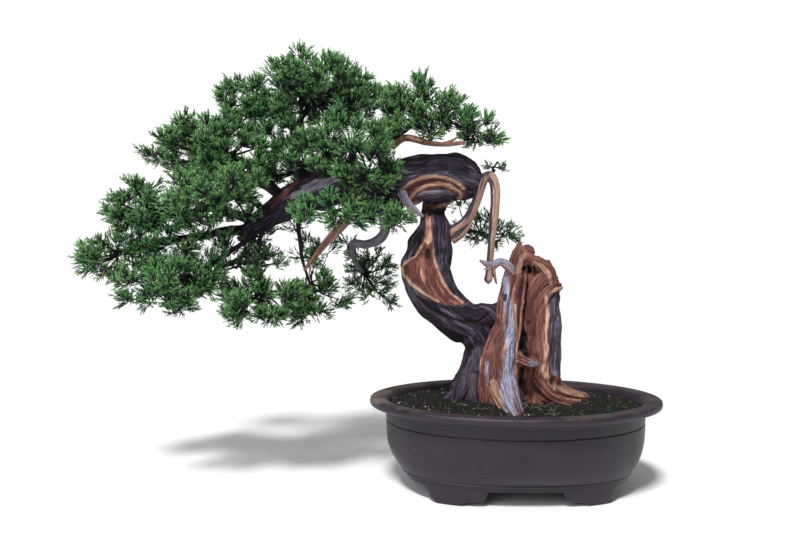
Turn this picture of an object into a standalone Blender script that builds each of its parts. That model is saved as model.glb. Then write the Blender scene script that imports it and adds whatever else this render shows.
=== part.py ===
"""A slanting juniper bonsai in an oval unglazed pot.

Metres, +Z up. Everything is laid out from the centre of the pot's footprint, with +X to the right and +Y away
from the front, and is moved at the end so that the whole object is centred on the origin and stands on z = 0.
"""

import math

import bmesh
import bpy
from mathutils import Matrix, Vector

# The pot, an oval of fired clay standing on four feet.
POT_LENGTH = 0.500
POT_DEPTH = 0.385
POT_HEIGHT = 0.154
LIP_HEIGHT = 0.013
LINE_HEIGHT = 0.1155
RIM_WIDTH = 0.026
WALL_THICKNESS = 0.011
FOOT_HEIGHT = 0.023
FLOOR_THICKNESS = 0.012
POT_SEGMENTS = 40
SQUARENESS = 14.0
DRAIN_RADIUS = 0.014
DRAIN_OFFSET = 0.105
FOOT_ANGLE = math.radians(52)
FOOT_SWEEP = math.radians(37)
FOOT_INSET = 0.0640
FOOT_THICKNESS = 0.0215

# What fills the pot.
SOIL_AT_RIM = 0.1415
SOIL_MOUND = 0.012
GROUND_INSET = 0.0398
MOSS_THICKNESS = 0.004
SCREEN_SIZE = 0.050
SCREEN_THICKNESS = 0.0015
SCREEN_HOLES = 4
SCREEN_HOLE_SHARE = 0.6

# Rings between two points of a limb's route.
STEPS = 2

# Meshes that touch keep this gap.
GAP = 0.0003

# Each limb is a route of (x, y, z, radius), thick end first. The live trunk is one body: the leaning stem, the
# short rise behind its head, the long limb that runs off to the left, and the roots that show above the soil.
LIVE_WOOD = [
    [(-0.081, 0.000, 0.121, 0.038), (-0.079, 0.000, 0.156, 0.032), (-0.067, -0.005, 0.200, 0.027),
     (-0.057, -0.008, 0.240, 0.030), (-0.070, -0.008, 0.270, 0.035), (-0.101, -0.008, 0.290, 0.038),
     (-0.135, -0.005, 0.323, 0.042), (-0.153, 0.000, 0.369, 0.043), (-0.147, 0.000, 0.413, 0.037),
     (-0.140, 0.000, 0.445, 0.029), (-0.143, 0.003, 0.470, 0.019)],
    [(-0.141, 0.002, 0.460, 0.020), (-0.137, 0.014, 0.488, 0.021), (-0.121, 0.024, 0.508, 0.026),
     (-0.105, 0.024, 0.522, 0.030)],
    [(-0.077, 0.022, 0.526, 0.026), (-0.089, 0.008, 0.530, 0.036), (-0.119, -0.010, 0.536, 0.040),
     (-0.159, -0.016, 0.532, 0.040), (-0.199, -0.010, 0.523, 0.038), (-0.237, 0.000, 0.515, 0.034),
     (-0.286, 0.010, 0.519, 0.033), (-0.339, 0.010, 0.512, 0.032), (-0.381, 0.000, 0.494, 0.027),
     (-0.425, 0.000, 0.468, 0.021), (-0.461, 0.000, 0.444, 0.014)],
    [(-0.081, 0.000, 0.168, 0.022), (-0.100, -0.012, 0.156, 0.014), (-0.120, -0.022, 0.146, 0.009),
     (-0.134, -0.028, 0.138, 0.006)],
    [(-0.077, 0.000, 0.170, 0.018), (-0.063, 0.040, 0.158, 0.011), (-0.045, 0.072, 0.146, 0.006),
     (-0.037, 0.086, 0.135, 0.004)],
]
STUMP_TIMBERS = [
    [(-0.037, -0.050, 0.120, 0.038), (-0.033, -0.046, 0.181, 0.034), (-0.030, -0.042, 0.239, 0.030),
     (-0.021, -0.040, 0.306, 0.026), (-0.007, -0.038, 0.365, 0.020), (0.002, -0.036, 0.410, 0.011)],
    [(0.037, -0.010, 0.120, 0.040), (0.041, -0.016, 0.188, 0.034), (0.043, -0.020, 0.248, 0.031),
     (0.048, -0.020, 0.308, 0.028), (0.055, -0.020, 0.353, 0.021), (0.043, -0.024, 0.382, 0.012)],
    [(0.003, 0.000, 0.124, 0.042), (0.005, -0.004, 0.198, 0.038), (0.009, -0.008, 0.268, 0.033),
     (0.015, -0.014, 0.328, 0.026), (0.023, -0.020, 0.364, 0.016)],
    [(-0.027, -0.052, 0.204, 0.020), (-0.023, -0.080, 0.168, 0.018), (-0.015, -0.110, 0.148, 0.012),
     (-0.011, -0.124, 0.134, 0.008)],
    [(0.050, -0.016, 0.194, 0.026), (0.074, -0.014, 0.172, 0.020), (0.098, -0.010, 0.158, 0.013),
     (0.124, -0.004, 0.149, 0.006)],
]
DEADWOOD = {
    "hooked_jin": [
        [(-0.119, 0.000, 0.433, 0.011), (-0.085, -0.006, 0.455, 0.009), (-0.068, -0.010, 0.488, 0.008),
         (-0.058, -0.014, 0.520, 0.008), (-0.051, -0.016, 0.536, 0.007)],
        [(-0.054, -0.015, 0.531, 0.008), (-0.042, -0.019, 0.532, 0.010), (-0.035, -0.022, 0.508, 0.009),
         (-0.039, -0.024, 0.459, 0.008), (-0.045, -0.025, 0.399, 0.006), (-0.048, -0.025, 0.360, 0.004)],
    ],
    "short_jin": [
        [(-0.007, -0.044, 0.370, 0.008), (-0.025, -0.054, 0.384, 0.007), (-0.045, -0.058, 0.382, 0.006),
         (-0.067, -0.062, 0.387, 0.004)],
    ],
    "twin_jin": [
        [(-0.197, -0.030, 0.514, 0.010), (-0.191, -0.048, 0.494, 0.007), (-0.175, -0.052, 0.476, 0.005),
         (-0.161, -0.054, 0.464, 0.003)],
        [(-0.191, -0.048, 0.494, 0.006), (-0.181, -0.053, 0.474, 0.004), (-0.171, -0.056, 0.454, 0.003)],
    ],
    "upper_jin": [
        [(-0.212, -0.014, 0.586, 0.007), (-0.188, -0.032, 0.598, 0.006), (-0.152, -0.038, 0.588, 0.005),
         (-0.118, -0.042, 0.585, 0.004), (-0.088, -0.044, 0.588, 0.003)],
    ],
    "spear_jin": [
        [(-0.269, -0.024, 0.496, 0.010), (-0.293, -0.052, 0.454, 0.009), (-0.325, -0.062, 0.416, 0.006),
         (-0.357, -0.068, 0.374, 0.002)],
    ],
}
BRANCHES = {
    "branch_apex": [(-0.347, 0.010, 0.514, 0.018), (-0.385, 0.026, 0.568, 0.014),
                    (-0.371, 0.030, 0.620, 0.010), (-0.359, 0.022, 0.676, 0.005)],
    "branch_top_left": [(-0.374, 0.030, 0.614, 0.009), (-0.413, 0.014, 0.650, 0.007),
                        (-0.449, 0.002, 0.672, 0.004)],
    "branch_right_top": [(-0.219, -0.004, 0.520, 0.015), (-0.223, -0.008, 0.574, 0.011),
                         (-0.193, -0.018, 0.610, 0.008), (-0.143, -0.020, 0.634, 0.005),
                         (-0.083, -0.004, 0.620, 0.003)],
    "branch_mid_front": [(-0.279, 0.006, 0.520, 0.011), (-0.281, -0.050, 0.558, 0.008),
                         (-0.273, -0.100, 0.574, 0.004)],
    "branch_mid_back": [(-0.327, 0.012, 0.514, 0.012), (-0.349, 0.068, 0.544, 0.009),
                        (-0.383, 0.120, 0.560, 0.005)],
    "branch_upper_left": [(-0.393, 0.000, 0.488, 0.013), (-0.435, -0.030, 0.532, 0.010),
                          (-0.487, -0.060, 0.566, 0.006)],
    "branch_upper_back": [(-0.393, 0.000, 0.490, 0.013), (-0.463, 0.052, 0.538, 0.009),
                          (-0.553, 0.092, 0.578, 0.005)],
    "branch_mid_left": [(-0.411, -0.002, 0.476, 0.011), (-0.441, -0.056, 0.488, 0.008),
                        (-0.473, -0.106, 0.498, 0.005)],
    "branch_left": [(-0.445, 0.000, 0.454, 0.013), (-0.517, -0.010, 0.476, 0.010),
                    (-0.607, -0.018, 0.474, 0.006)],
    "branch_far_left": [(-0.453, 0.000, 0.449, 0.013), (-0.527, 0.004, 0.428, 0.010),
                        (-0.607, 0.002, 0.420, 0.008), (-0.687, 0.000, 0.406, 0.004)],
    "branch_low_left": [(-0.447, 0.000, 0.452, 0.008), (-0.483, -0.040, 0.400, 0.006),
                        (-0.545, -0.076, 0.364, 0.004)],
    "branch_low_back": [(-0.443, 0.000, 0.454, 0.008), (-0.487, 0.048, 0.396, 0.006),
                        (-0.557, 0.082, 0.356, 0.004)],
    "branch_low_middle": [(-0.417, 0.000, 0.472, 0.008), (-0.443, -0.024, 0.404, 0.006),
                          (-0.431, -0.044, 0.344, 0.004)],
    "branch_low_right": [(-0.372, 0.002, 0.490, 0.007), (-0.372, 0.018, 0.418, 0.005),
                         (-0.352, 0.012, 0.350, 0.003)],
    "branch_front_centre": [(-0.327, 0.008, 0.513, 0.010), (-0.323, -0.058, 0.484, 0.007),
                            (-0.307, -0.104, 0.472, 0.004)],
    "branch_front_right": [(-0.229, 0.000, 0.515, 0.010), (-0.213, -0.058, 0.484, 0.006),
                           (-0.197, -0.094, 0.474, 0.004)],
    "branch_hoop": [(-0.232, 0.004, 0.500, 0.012), (-0.224, 0.016, 0.455, 0.010),
                    (-0.233, 0.022, 0.427, 0.009), (-0.257, 0.030, 0.414, 0.008),
                    (-0.285, 0.046, 0.418, 0.006), (-0.282, 0.074, 0.392, 0.005),
                    (-0.264, 0.096, 0.366, 0.004)],
    "branch_back_right": [(-0.143, 0.004, 0.432, 0.011), (-0.103, 0.070, 0.434, 0.008),
                          (-0.047, 0.128, 0.440, 0.004)],
    "branch_tuft": [(-0.049, -0.016, 0.530, 0.004), (-0.041, 0.006, 0.548, 0.003),
                    (-0.033, 0.022, 0.554, 0.002)],
}
# Each pad of foliage is a lumpy body: (centre), (half length, half depth, half height).
FOLIAGE = {
    "foliage_apex_front": ((-0.347, -0.060, 0.694), (0.088, 0.085, 0.050)),
    "foliage_apex_back": ((-0.327, 0.100, 0.680), (0.108, 0.095, 0.062)),
    "foliage_top_left": ((-0.455, 0.010, 0.670), (0.068, 0.085, 0.044)),
    "foliage_right_top": ((-0.153, -0.030, 0.649), (0.082, 0.090, 0.050)),
    "foliage_right_tip": ((-0.059, 0.004, 0.612), (0.058, 0.060, 0.029)),
    "foliage_mid_front": ((-0.272, -0.120, 0.586), (0.078, 0.060, 0.038)),
    "foliage_mid_back": ((-0.388, 0.140, 0.568), (0.112, 0.074, 0.056)),
    "foliage_upper_left": ((-0.519, -0.070, 0.590), (0.084, 0.084, 0.049)),
    "foliage_upper_back": ((-0.591, 0.110, 0.588), (0.090, 0.084, 0.056)),
    "foliage_mid_left": ((-0.489, -0.140, 0.508), (0.080, 0.064, 0.034)),
    "foliage_left": ((-0.638, -0.020, 0.484), (0.084, 0.098, 0.046)),
    "foliage_far_left": ((-0.700, 0.000, 0.394), (0.072, 0.086, 0.048)),
    "foliage_low_left": ((-0.587, -0.090, 0.348), (0.084, 0.074, 0.046)),
    "foliage_low_back": ((-0.601, 0.100, 0.346), (0.094, 0.078, 0.050)),
    "foliage_low_middle": ((-0.425, -0.056, 0.322), (0.088, 0.080, 0.040)),
    "foliage_front_centre": ((-0.303, -0.132, 0.471), (0.088, 0.052, 0.030)),
    "foliage_front_right": ((-0.207, -0.110, 0.462), (0.034, 0.040, 0.034)),
    "foliage_back_low": ((-0.253, 0.110, 0.354), (0.062, 0.064, 0.056)),
    "foliage_back_right": ((-0.021, 0.150, 0.441), (0.061, 0.062, 0.046)),
    "foliage_low_right": ((-0.345, 0.010, 0.322), (0.066, 0.066, 0.040)),
    "foliage_inner_right": ((-0.345, 0.080, 0.408), (0.046, 0.052, 0.030)),
    "foliage_inner_left": ((-0.482, 0.060, 0.402), (0.070, 0.062, 0.036)),
    "foliage_tuft": ((-0.030, 0.026, 0.557), (0.021, 0.018, 0.011)),
}
PAD_SEGMENTS = 12
PAD_RINGS = 8
PAD_UNDERSIDE = 0.75


def clear_scene():
    for thing in list(bpy.data.objects):
        bpy.data.objects.remove(thing, do_unlink=True)


def make_collection(name):
    found = bpy.data.collections.new(name)
    bpy.context.scene.collection.children.link(found)
    return found


def make_material(name, colour, roughness):
    made = bpy.data.materials.new(name)
    made.use_nodes = True
    shader = made.node_tree.nodes["Principled BSDF"]
    shader.inputs["Base Color"].default_value = (*colour, 1.0)
    shader.inputs["Roughness"].default_value = roughness
    shader.inputs["Metallic"].default_value = 0.0
    return made


def object_of(name, bm, material):
    """A mesh object from bm, facing out, and in triangles so that a body and its cutter bend alike."""
    bmesh.ops.triangulate(bm, faces=bm.faces)
    bmesh.ops.recalc_face_normals(bm, faces=bm.faces)
    mesh = bpy.data.meshes.new(name)
    bm.to_mesh(mesh)
    bm.free()
    made = bpy.data.objects.new(name, mesh)
    if material:
        mesh.materials.append(material)
        mesh.shade_smooth()
        mesh.set_sharp_from_angle(angle=math.radians(40))
        PARTS.objects.link(made)
    else:
        made.hide_render = True
        made.display_type = "WIRE"
        HELPERS.objects.link(made)
    made.parent = ROOT
    return made


def cut(target, cutter):
    modifier = target.modifiers.new("cut_" + cutter.name, "BOOLEAN")
    modifier.operation = "DIFFERENCE"
    modifier.object = cutter


def join(target, other):
    modifier = target.modifiers.new("join_" + other.name, "BOOLEAN")
    modifier.operation = "UNION"
    modifier.object = other


def oval_point(inset, angle):
    """A point of the pot's plan, moved in along its normal. The oval squares up towards the base."""
    power = 2 + SQUARENESS * max(0.0, inset - 0.030)
    across = Vector((math.cos(angle) / (POT_LENGTH / 2), math.sin(angle) / (POT_DEPTH / 2), 0))
    reach = sum(abs(value) ** power for value in across) ** (-1 / power)
    slope = [math.copysign(abs(value * reach) ** (power - 1), value) for value in across]
    normal = Vector((slope[0] / POT_LENGTH, slope[1] / POT_DEPTH, 0)).normalized()
    return Vector((math.cos(angle), math.sin(angle), 0)) * reach - normal * inset


def oval_loop(bm, inset, z, shrink=1.0):
    """One ring of vertices parallel to the rim, and then shrunk towards the middle."""
    made = []
    for step in range(POT_SEGMENTS):
        at = oval_point(inset, 2 * math.pi * step / POT_SEGMENTS) * shrink
        made.append(bm.verts.new((at.x, at.y, z)))
    return made


def oval_stack(name, rows, material):
    """A closed body lofted through ovals, given as (inset, z, shrink) from one cap to the other."""
    bm = bmesh.new()
    loops = [oval_loop(bm, *row) for row in rows]
    for low, high in zip(loops, loops[1:]):
        for step in range(POT_SEGMENTS):
            after = (step + 1) % POT_SEGMENTS
            bm.faces.new((low[step], low[after], high[after], high[step]))
    bm.faces.new(reversed(loops[0]))
    bm.faces.new(loops[-1])
    return object_of(name, bm, material)


def outer_rows():
    """The pot's outside, from its underside to the top of its rim, as (inset, z, shrink)."""
    lip_low = POT_HEIGHT - LIP_HEIGHT
    base = [
        (FOOT_INSET, FOOT_HEIGHT, 0.5), (FOOT_INSET, FOOT_HEIGHT, 1), (0.0595, 0.0335, 1), (0.0570, 0.0345, 1),
    ]
    wall = [
        (0.0565, 0.0370, 1), (0.0460, 0.0470, 1), (0.0370, 0.0600, 1), (0.0310, 0.0760, 1), (0.0288, 0.0940, 1),
    ]
    line = [(0.0282, LINE_HEIGHT - 0.0020, 1), (0.0292, LINE_HEIGHT, 1), (0.0282, LINE_HEIGHT + 0.0020, 1)]
    lip = [
        (0.0280, lip_low - 0.007, 1), (0.0240, lip_low - 0.002, 1), (0.0080, lip_low, 1),
        (0.0015, lip_low + 0.002, 1), (0.0000, lip_low + 0.005, 1), (0.0000, POT_HEIGHT - 0.003, 1), (0.0025, POT_HEIGHT, 1),
    ]
    return base + wall + line + lip


def inner_rows(gap=0.0):
    """The pot's inside, from just below the rim to the edge of its floor."""
    floor = FOOT_HEIGHT + FLOOR_THICKNESS
    return [
        (0.0340 + gap, POT_HEIGHT - 0.0090, 1), (0.0395 + gap, 0.132, 1),
        (0.0288 + WALL_THICKNESS + gap, 0.094, 1), (0.0360 + WALL_THICKNESS + gap, 0.064, 1),
        (0.0500 + WALL_THICKNESS + gap, 0.0470, 1), (0.0700 + WALL_THICKNESS + gap, floor + gap, 1),
    ]


# A bracket foot's underside, from its outer end to its inner end: (share of its length, share of its height).
FOOT_UNDERSIDE = [
    (0, 0.95), (0.07, 0.55), (0.15, 0.20), (0.24, 0), (0.62, 0),
    (0.68, 0.20), (0.76, 0.26), (0.92, 0.32), (1, 0.90),
]


def make_foot(number, middle, towards):
    """A bracket foot that follows the pot's base, lofted through upright sections."""
    bm = bmesh.new()
    sections = []
    for share, lift in FOOT_UNDERSIDE:
        angle = middle + towards * FOOT_SWEEP * (share - 0.5)
        low, high = lift * FOOT_HEIGHT, FOOT_HEIGHT + 0.006
        outer_low, outer_high = FOOT_INSET + 0.003, FOOT_INSET - 0.002
        inner = FOOT_INSET + FOOT_THICKNESS
        corners = ((outer_low, low), (outer_high, high), (inner, high), (inner, low))
        section = []
        for inset, z in corners:
            at = oval_point(inset, angle)
            section.append(bm.verts.new((at.x, at.y, z)))
        sections.append(section)
    for first, second in zip(sections, sections[1:]):
        for corner in range(4):
            after = (corner + 1) % 4
            bm.faces.new((first[corner], first[after], second[after], second[corner]))
    bm.faces.new(sections[0])
    bm.faces.new(reversed(sections[-1]))
    return object_of(f"foot_{number}", bm, None)


def make_drain(name, x):
    """The cutter of one drain hole, turned so that none of its corners lies on the pot's long axis."""
    bm = bmesh.new()
    bmesh.ops.create_cone(bm, cap_ends=True, segments=20, radius1=DRAIN_RADIUS, radius2=DRAIN_RADIUS,
                          depth=4 * FLOOR_THICKNESS, matrix=Matrix.Rotation(math.radians(7), 4, "Z"))
    bmesh.ops.translate(bm, verts=bm.verts, vec=(x, 0, FOOT_HEIGHT))
    return object_of(name, bm, None)


def make_pot(clay):
    inner = inner_rows()
    floor = inner[-1]
    rows = outer_rows() + [(RIM_WIDTH, POT_HEIGHT, 1)]
    pot = oval_stack("pot", rows + inner + [(floor[0], floor[1], 0.5)], clay)
    number = 0
    for side in (0, math.pi):
        for sign in (1, -1):
            number += 1
            join(pot, make_foot(number, side + sign * FOOT_ANGLE, sign))
    cut(pot, make_drain("drain_left", -DRAIN_OFFSET))
    cut(pot, make_drain("drain_right", DRAIN_OFFSET))
    return pot


def ground_top(inset, drop):
    """The ground's surface, less drop, as rings from its edge to its middle."""
    shares = (1, 0.75, 0.45, 0.15)
    return [(inset, SOIL_AT_RIM + SOIL_MOUND * (1 - share**2) - drop, share) for share in shares]


def make_soil(soil):
    """Everything below the moss, from the pot's floor up."""
    walls = list(reversed(inner_rows(GAP)))
    floor = walls[0]
    below = [row for row in walls if row[1] < SOIL_AT_RIM - 2 * MOSS_THICKNESS]
    rows = [(floor[0], floor[1], 0.5), *below, *ground_top(GROUND_INSET + GAP, MOSS_THICKNESS + GAP)]
    return oval_stack("soil_bed", rows, soil)


def make_moss(moss):
    """A thin carpet over the soil."""
    under = list(reversed(ground_top(GROUND_INSET, MOSS_THICKNESS)))
    return oval_stack("moss_carpet", under + ground_top(GROUND_INSET, 0), moss)


def add_box(bm, size, centre):
    made = bmesh.ops.create_cube(bm, size=1)["verts"]
    bmesh.ops.scale(bm, verts=made, vec=size)
    bmesh.ops.translate(bm, verts=made, vec=centre)


def make_screen(name, x, plastic):
    """A square of plastic mesh over a drain hole, and the space that the soil leaves for it."""
    z = FOOT_HEIGHT + FLOOR_THICKNESS + GAP + SCREEN_THICKNESS / 2
    bm = bmesh.new()
    add_box(bm, (SCREEN_SIZE, SCREEN_SIZE, SCREEN_THICKNESS), (x, 0, z))
    screen = object_of(name, bm, plastic)
    bm = bmesh.new()
    pitch = SCREEN_SIZE / (SCREEN_HOLES + 1)
    hole = SCREEN_HOLE_SHARE * pitch
    middle = (SCREEN_HOLES - 1) / 2
    for column in range(SCREEN_HOLES):
        for row in range(SCREEN_HOLES):
            at = (x + (column - middle) * pitch, (row - middle) * pitch, z)
            add_box(bm, (hole, hole, 4 * SCREEN_THICKNESS), at)
    cut(screen, object_of(name + "_holes", bm, None))
    bm = bmesh.new()
    side = SCREEN_SIZE + 2 * GAP
    add_box(bm, (side, side, SCREEN_THICKNESS + 4 * GAP), (x, 0, z - GAP))
    screen["grown"] = object_of(name + "_grown", bm, None)
    return screen


def smooth(points):
    """Points on a smooth curve through these, each (x, y, z, radius)."""
    rows = [Vector(p) for p in points]
    rows = [2 * rows[0] - rows[1], *rows, 2 * rows[-1] - rows[-2]]
    found = []
    for a, b, c, d in zip(rows, rows[1:], rows[2:], rows[3:]):
        for step in range(STEPS):
            t = step / STEPS
            found.append(0.5 * (2 * b + (c - a) * t + (2 * a - 5 * b + 4 * c - d) * t**2
                                + (3 * b - a - 3 * c + d) * t**3))
    return found + [rows[-2]]


def tube_mesh(name, route, sides, grow):
    """A tube of changing thickness along a smooth route, as a closed mesh."""
    points = smooth(route)
    for end, before in ((0, 1), (-1, -2)):
        outwards = (points[end].xyz - points[before].xyz).normalized()
        points[end] = Vector((*(points[end].xyz + grow * outwards), points[end][3]))
    curve = bpy.data.curves.new(name, "CURVE")
    curve.dimensions = "3D"
    curve.bevel_depth = 1.0
    curve.bevel_resolution = (sides - 4) // 2
    curve.use_fill_caps = True
    spline = curve.splines.new("POLY")
    spline.points.add(len(points) - 1)
    for target, point in zip(spline.points, points):
        target.co = (*point[:3], 1)
        target.radius = point[3] + grow
    holder = bpy.data.objects.new(name, curve)
    bpy.context.scene.collection.objects.link(holder)
    graph = bpy.context.evaluated_depsgraph_get()
    mesh = bpy.data.meshes.new_from_object(holder.evaluated_get(graph))
    bpy.data.objects.remove(holder)
    bm = bmesh.new()
    bm.from_mesh(mesh)
    bpy.data.meshes.remove(mesh)
    bmesh.ops.remove_doubles(bm, verts=bm.verts, dist=0.00001)
    return bm


def make_limb(name, routes, material, sides=6):
    """Tubes grown into one body, and the slightly thicker one that its neighbours are cut with."""
    bodies = []
    for suffix, grow, dress in (("", 0.0, material), ("_grown", GAP, None)):
        first = object_of(name + suffix, tube_mesh(name, routes[0], sides, grow), dress)
        for number, route in enumerate(routes[1:]):
            join(first, object_of(f"{name}_{number}{suffix}", tube_mesh(name, route, sides, grow), None))
        bodies.append(first)
    bodies[0]["grown"] = bodies[1]
    return bodies[0]


def lump(direction, seed):
    """How far a pad stands out in a direction, as a share of its size."""
    waves = math.sin(3 * direction.x + seed) * math.cos(3 * direction.y - 2 * seed)
    return 1 + 0.09 * waves + 0.04 * math.sin(5 * direction.x + 3 * direction.z + seed)


def make_pad(name, centre, half, material, number):
    """A lumpy pad of foliage, flatter below, and the larger one that its neighbours are cut with."""
    made = []
    for suffix, grow, dress in (("", 0.0, material), ("_grown", GAP, None)):
        bm = bmesh.new()
        bmesh.ops.create_uvsphere(bm, u_segments=PAD_SEGMENTS, v_segments=PAD_RINGS, radius=1)
        for vert in bm.verts:
            direction = vert.co.normalized()
            squash = PAD_UNDERSIDE if direction.z < 0 else 1.0
            size = Vector(half) + Vector((grow, grow, grow))
            size.z *= squash
            vert.co = direction * lump(direction, number) * size + Vector(centre)
        made.append(object_of(name + suffix, bm, dress))
    made[0]["grown"] = made[1]
    return made[0]


def box_of(thing):
    corners = [Vector(corner) for corner in thing.bound_box]
    return [min(c[i] for c in corners) for i in range(3)], [max(c[i] for c in corners) for i in range(3)]


def near(first, second):
    """Whether two objects' boxes meet."""
    (low_a, high_a), (low_b, high_b) = box_of(first), box_of(second)
    return all(low_a[i] < high_b[i] and low_b[i] < high_a[i] for i in range(3))


def fit_together(parts):
    """Cuts each part with every earlier one that it may meet, so that they touch without overlapping."""
    bpy.context.view_layer.update()
    for number, part in enumerate(parts):
        for earlier in parts[:number]:
            if near(part, earlier["grown"]):
                cut(part, earlier["grown"])


def centre_on_origin(parts):
    """Moves everything so that the object's box is centred on x = y = 0 and stands on z = 0."""
    bpy.context.view_layer.update()
    graph = bpy.context.evaluated_depsgraph_get()
    corners = [Vector(corner) for part in parts for corner in part.evaluated_get(graph).bound_box]
    low = Vector(min(c[i] for c in corners) for i in range(3))
    high = Vector(max(c[i] for c in corners) for i in range(3))
    ROOT.location = (-(low.x + high.x) / 2, -(low.y + high.y) / 2, -low.z)


def main():
    clay = make_material("clay", (0.085, 0.062, 0.058), 0.55)
    soil = make_material("soil", (0.035, 0.027, 0.020), 0.95)
    moss = make_material("moss", (0.045, 0.060, 0.020), 0.95)
    plastic = make_material("screen_plastic", (0.03, 0.03, 0.03), 0.5)
    bark = make_material("bark", (0.110, 0.085, 0.080), 0.85)
    dead_wood = make_material("dead_wood", (0.420, 0.200, 0.110), 0.7)
    needles = make_material("needles", (0.050, 0.130, 0.045), 0.6)

    pot = make_pot(clay)
    ground = [make_soil(soil), make_moss(moss)]
    screens = [make_screen("drainage_screen_left", -DRAIN_OFFSET, plastic),
               make_screen("drainage_screen_right", DRAIN_OFFSET, plastic)]
    wood = [
        make_limb("live_trunk", LIVE_WOOD, bark, 12),
        make_limb("deadwood_stump", STUMP_TIMBERS, dead_wood, 10),
    ]
    wood += [make_limb(name, routes, dead_wood) for name, routes in DEADWOOD.items()]
    wood += [make_limb(name, [route], bark) for name, route in BRANCHES.items()]
    pads = []
    for number, (name, (centre, half)) in enumerate(FOLIAGE.items()):
        pads.append(make_pad(name, centre, half, needles, number))
    fit_together(wood + pads)
    for body in ground:
        for part in screens + wood:
            if near(body, part["grown"]):
                cut(body, part["grown"])
    centre_on_origin([pot, *ground, *screens, *wood, *pads])


clear_scene()
PARTS = make_collection("bonsai")
HELPERS = make_collection("cutters")
ROOT = bpy.data.objects.new("pot_centre", None)
PARTS.objects.link(ROOT)
main()
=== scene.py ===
"""A slanting juniper in an oval unglazed pot: the looks of every piece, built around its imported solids.

Metres, +Z up. Each piece is laid out from the centre of the pot's footprint, with +X to the right and +Y
away from the front, and is moved to the pot's own place when its mesh is written.
"""

import logging
import math
from dataclasses import dataclass, field
from enum import Enum

import bpy
import numpy as np
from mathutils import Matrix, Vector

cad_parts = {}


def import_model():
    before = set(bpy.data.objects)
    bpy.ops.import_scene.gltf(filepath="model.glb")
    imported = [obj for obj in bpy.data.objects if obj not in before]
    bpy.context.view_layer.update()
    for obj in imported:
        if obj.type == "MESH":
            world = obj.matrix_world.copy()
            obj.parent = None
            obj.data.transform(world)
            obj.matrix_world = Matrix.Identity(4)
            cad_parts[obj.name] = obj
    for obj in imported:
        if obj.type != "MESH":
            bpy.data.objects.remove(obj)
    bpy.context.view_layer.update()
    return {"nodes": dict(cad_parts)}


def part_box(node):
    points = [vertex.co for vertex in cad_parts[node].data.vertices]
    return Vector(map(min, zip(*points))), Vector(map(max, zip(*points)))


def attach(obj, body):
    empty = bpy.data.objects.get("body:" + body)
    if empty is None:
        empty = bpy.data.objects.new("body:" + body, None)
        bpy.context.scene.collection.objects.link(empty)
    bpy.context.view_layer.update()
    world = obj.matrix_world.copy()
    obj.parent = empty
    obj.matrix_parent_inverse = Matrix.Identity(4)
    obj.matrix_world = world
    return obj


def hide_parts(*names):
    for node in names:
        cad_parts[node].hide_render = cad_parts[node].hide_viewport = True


LOG = logging.getLogger("bonsai")
Array = np.ndarray
Colour = tuple[float, float, float]
Route = tuple[tuple[float, float, float, float], ...]
Line = tuple[tuple[float, float], ...]

# A limb's own coordinates: their scale around it and along it, and the step from one limb to the next.
GRAIN_AROUND = 0.03
GRAIN_ALONG = 0.12
GRAIN_STEP = 0.37

# The tubes that a fused body is grown from, and how many of its points are placed on its limbs at a time.
LIMB_SIDES = 28
LIMB_LUMPS = 0.1
BATCH = 8192


class Slot(Enum):
    """The record's material slots."""

    CLAY = "clay"
    SOIL = "soil"
    MOSS = "moss"
    SCREEN = "screen_plastic"
    BARK = "bark"
    DEAD = "dead_wood"
    NEEDLES = "needles"


# ---------- mesh helpers


def unit(rows: Array) -> Array:
    """Scales each row to length one.

    Args:
        rows: Vectors, one a row.

    Returns:
        The same directions at length one.
    """
    return rows / np.maximum(np.linalg.norm(rows, axis=-1, keepdims=True), 1e-9)


def ease(value: Array, low: float, high: float) -> Array:
    """A smooth step from 0 at low to 1 at high.

    Args:
        value: The values to place.
        low: Where the step starts.
        high: Where the step ends; it may lie below low.

    Returns:
        Shares from 0 to 1.
    """
    share = np.clip((value - low) / (high - low), 0, 1)
    return share * share * (3 - 2 * share)


def grain_noise(points: Array, seed: int = 0) -> Array:
    """Smooth noise on a lattice of unit cells.

    Args:
        points: Places to sample, (n, 3).
        seed: Which noise.

    Returns:
        Values from -1 to 1.
    """
    cell = np.floor(points).astype(np.int64)
    part = points - cell
    part = part * part * (3 - 2 * part)
    total = np.zeros(len(points))
    for corner in np.ndindex(2, 2, 2):
        key = cell + np.array(corner)
        mixed = key[:, 0] * 73856093 ^ key[:, 1] * 19349663 ^ key[:, 2] * 83492791 ^ (seed + 7) * 2654435761
        mixed = (mixed ^ (mixed >> 13)) * 1274126177 & 0xFFFFFFFF
        mixed = (mixed ^ (mixed >> 16)) * 2246822519 & 0xFFFFFFFF
        weight = np.prod(np.where(corner, part, 1 - part), axis=1)
        total += weight * (mixed / 0xFFFFFFFF * 2 - 1)
    return total


def ridges(points: Array, seed: int = 0) -> Array:
    """Noise with sharp crests, as between the strands of bark.

    Args:
        points: Places to sample, (n, 3).
        seed: Which noise.

    Returns:
        Values from 0 in the furrows to 1 on the crests.
    """
    return 1 - np.abs(grain_noise(points, seed)) * 1.6


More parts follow.
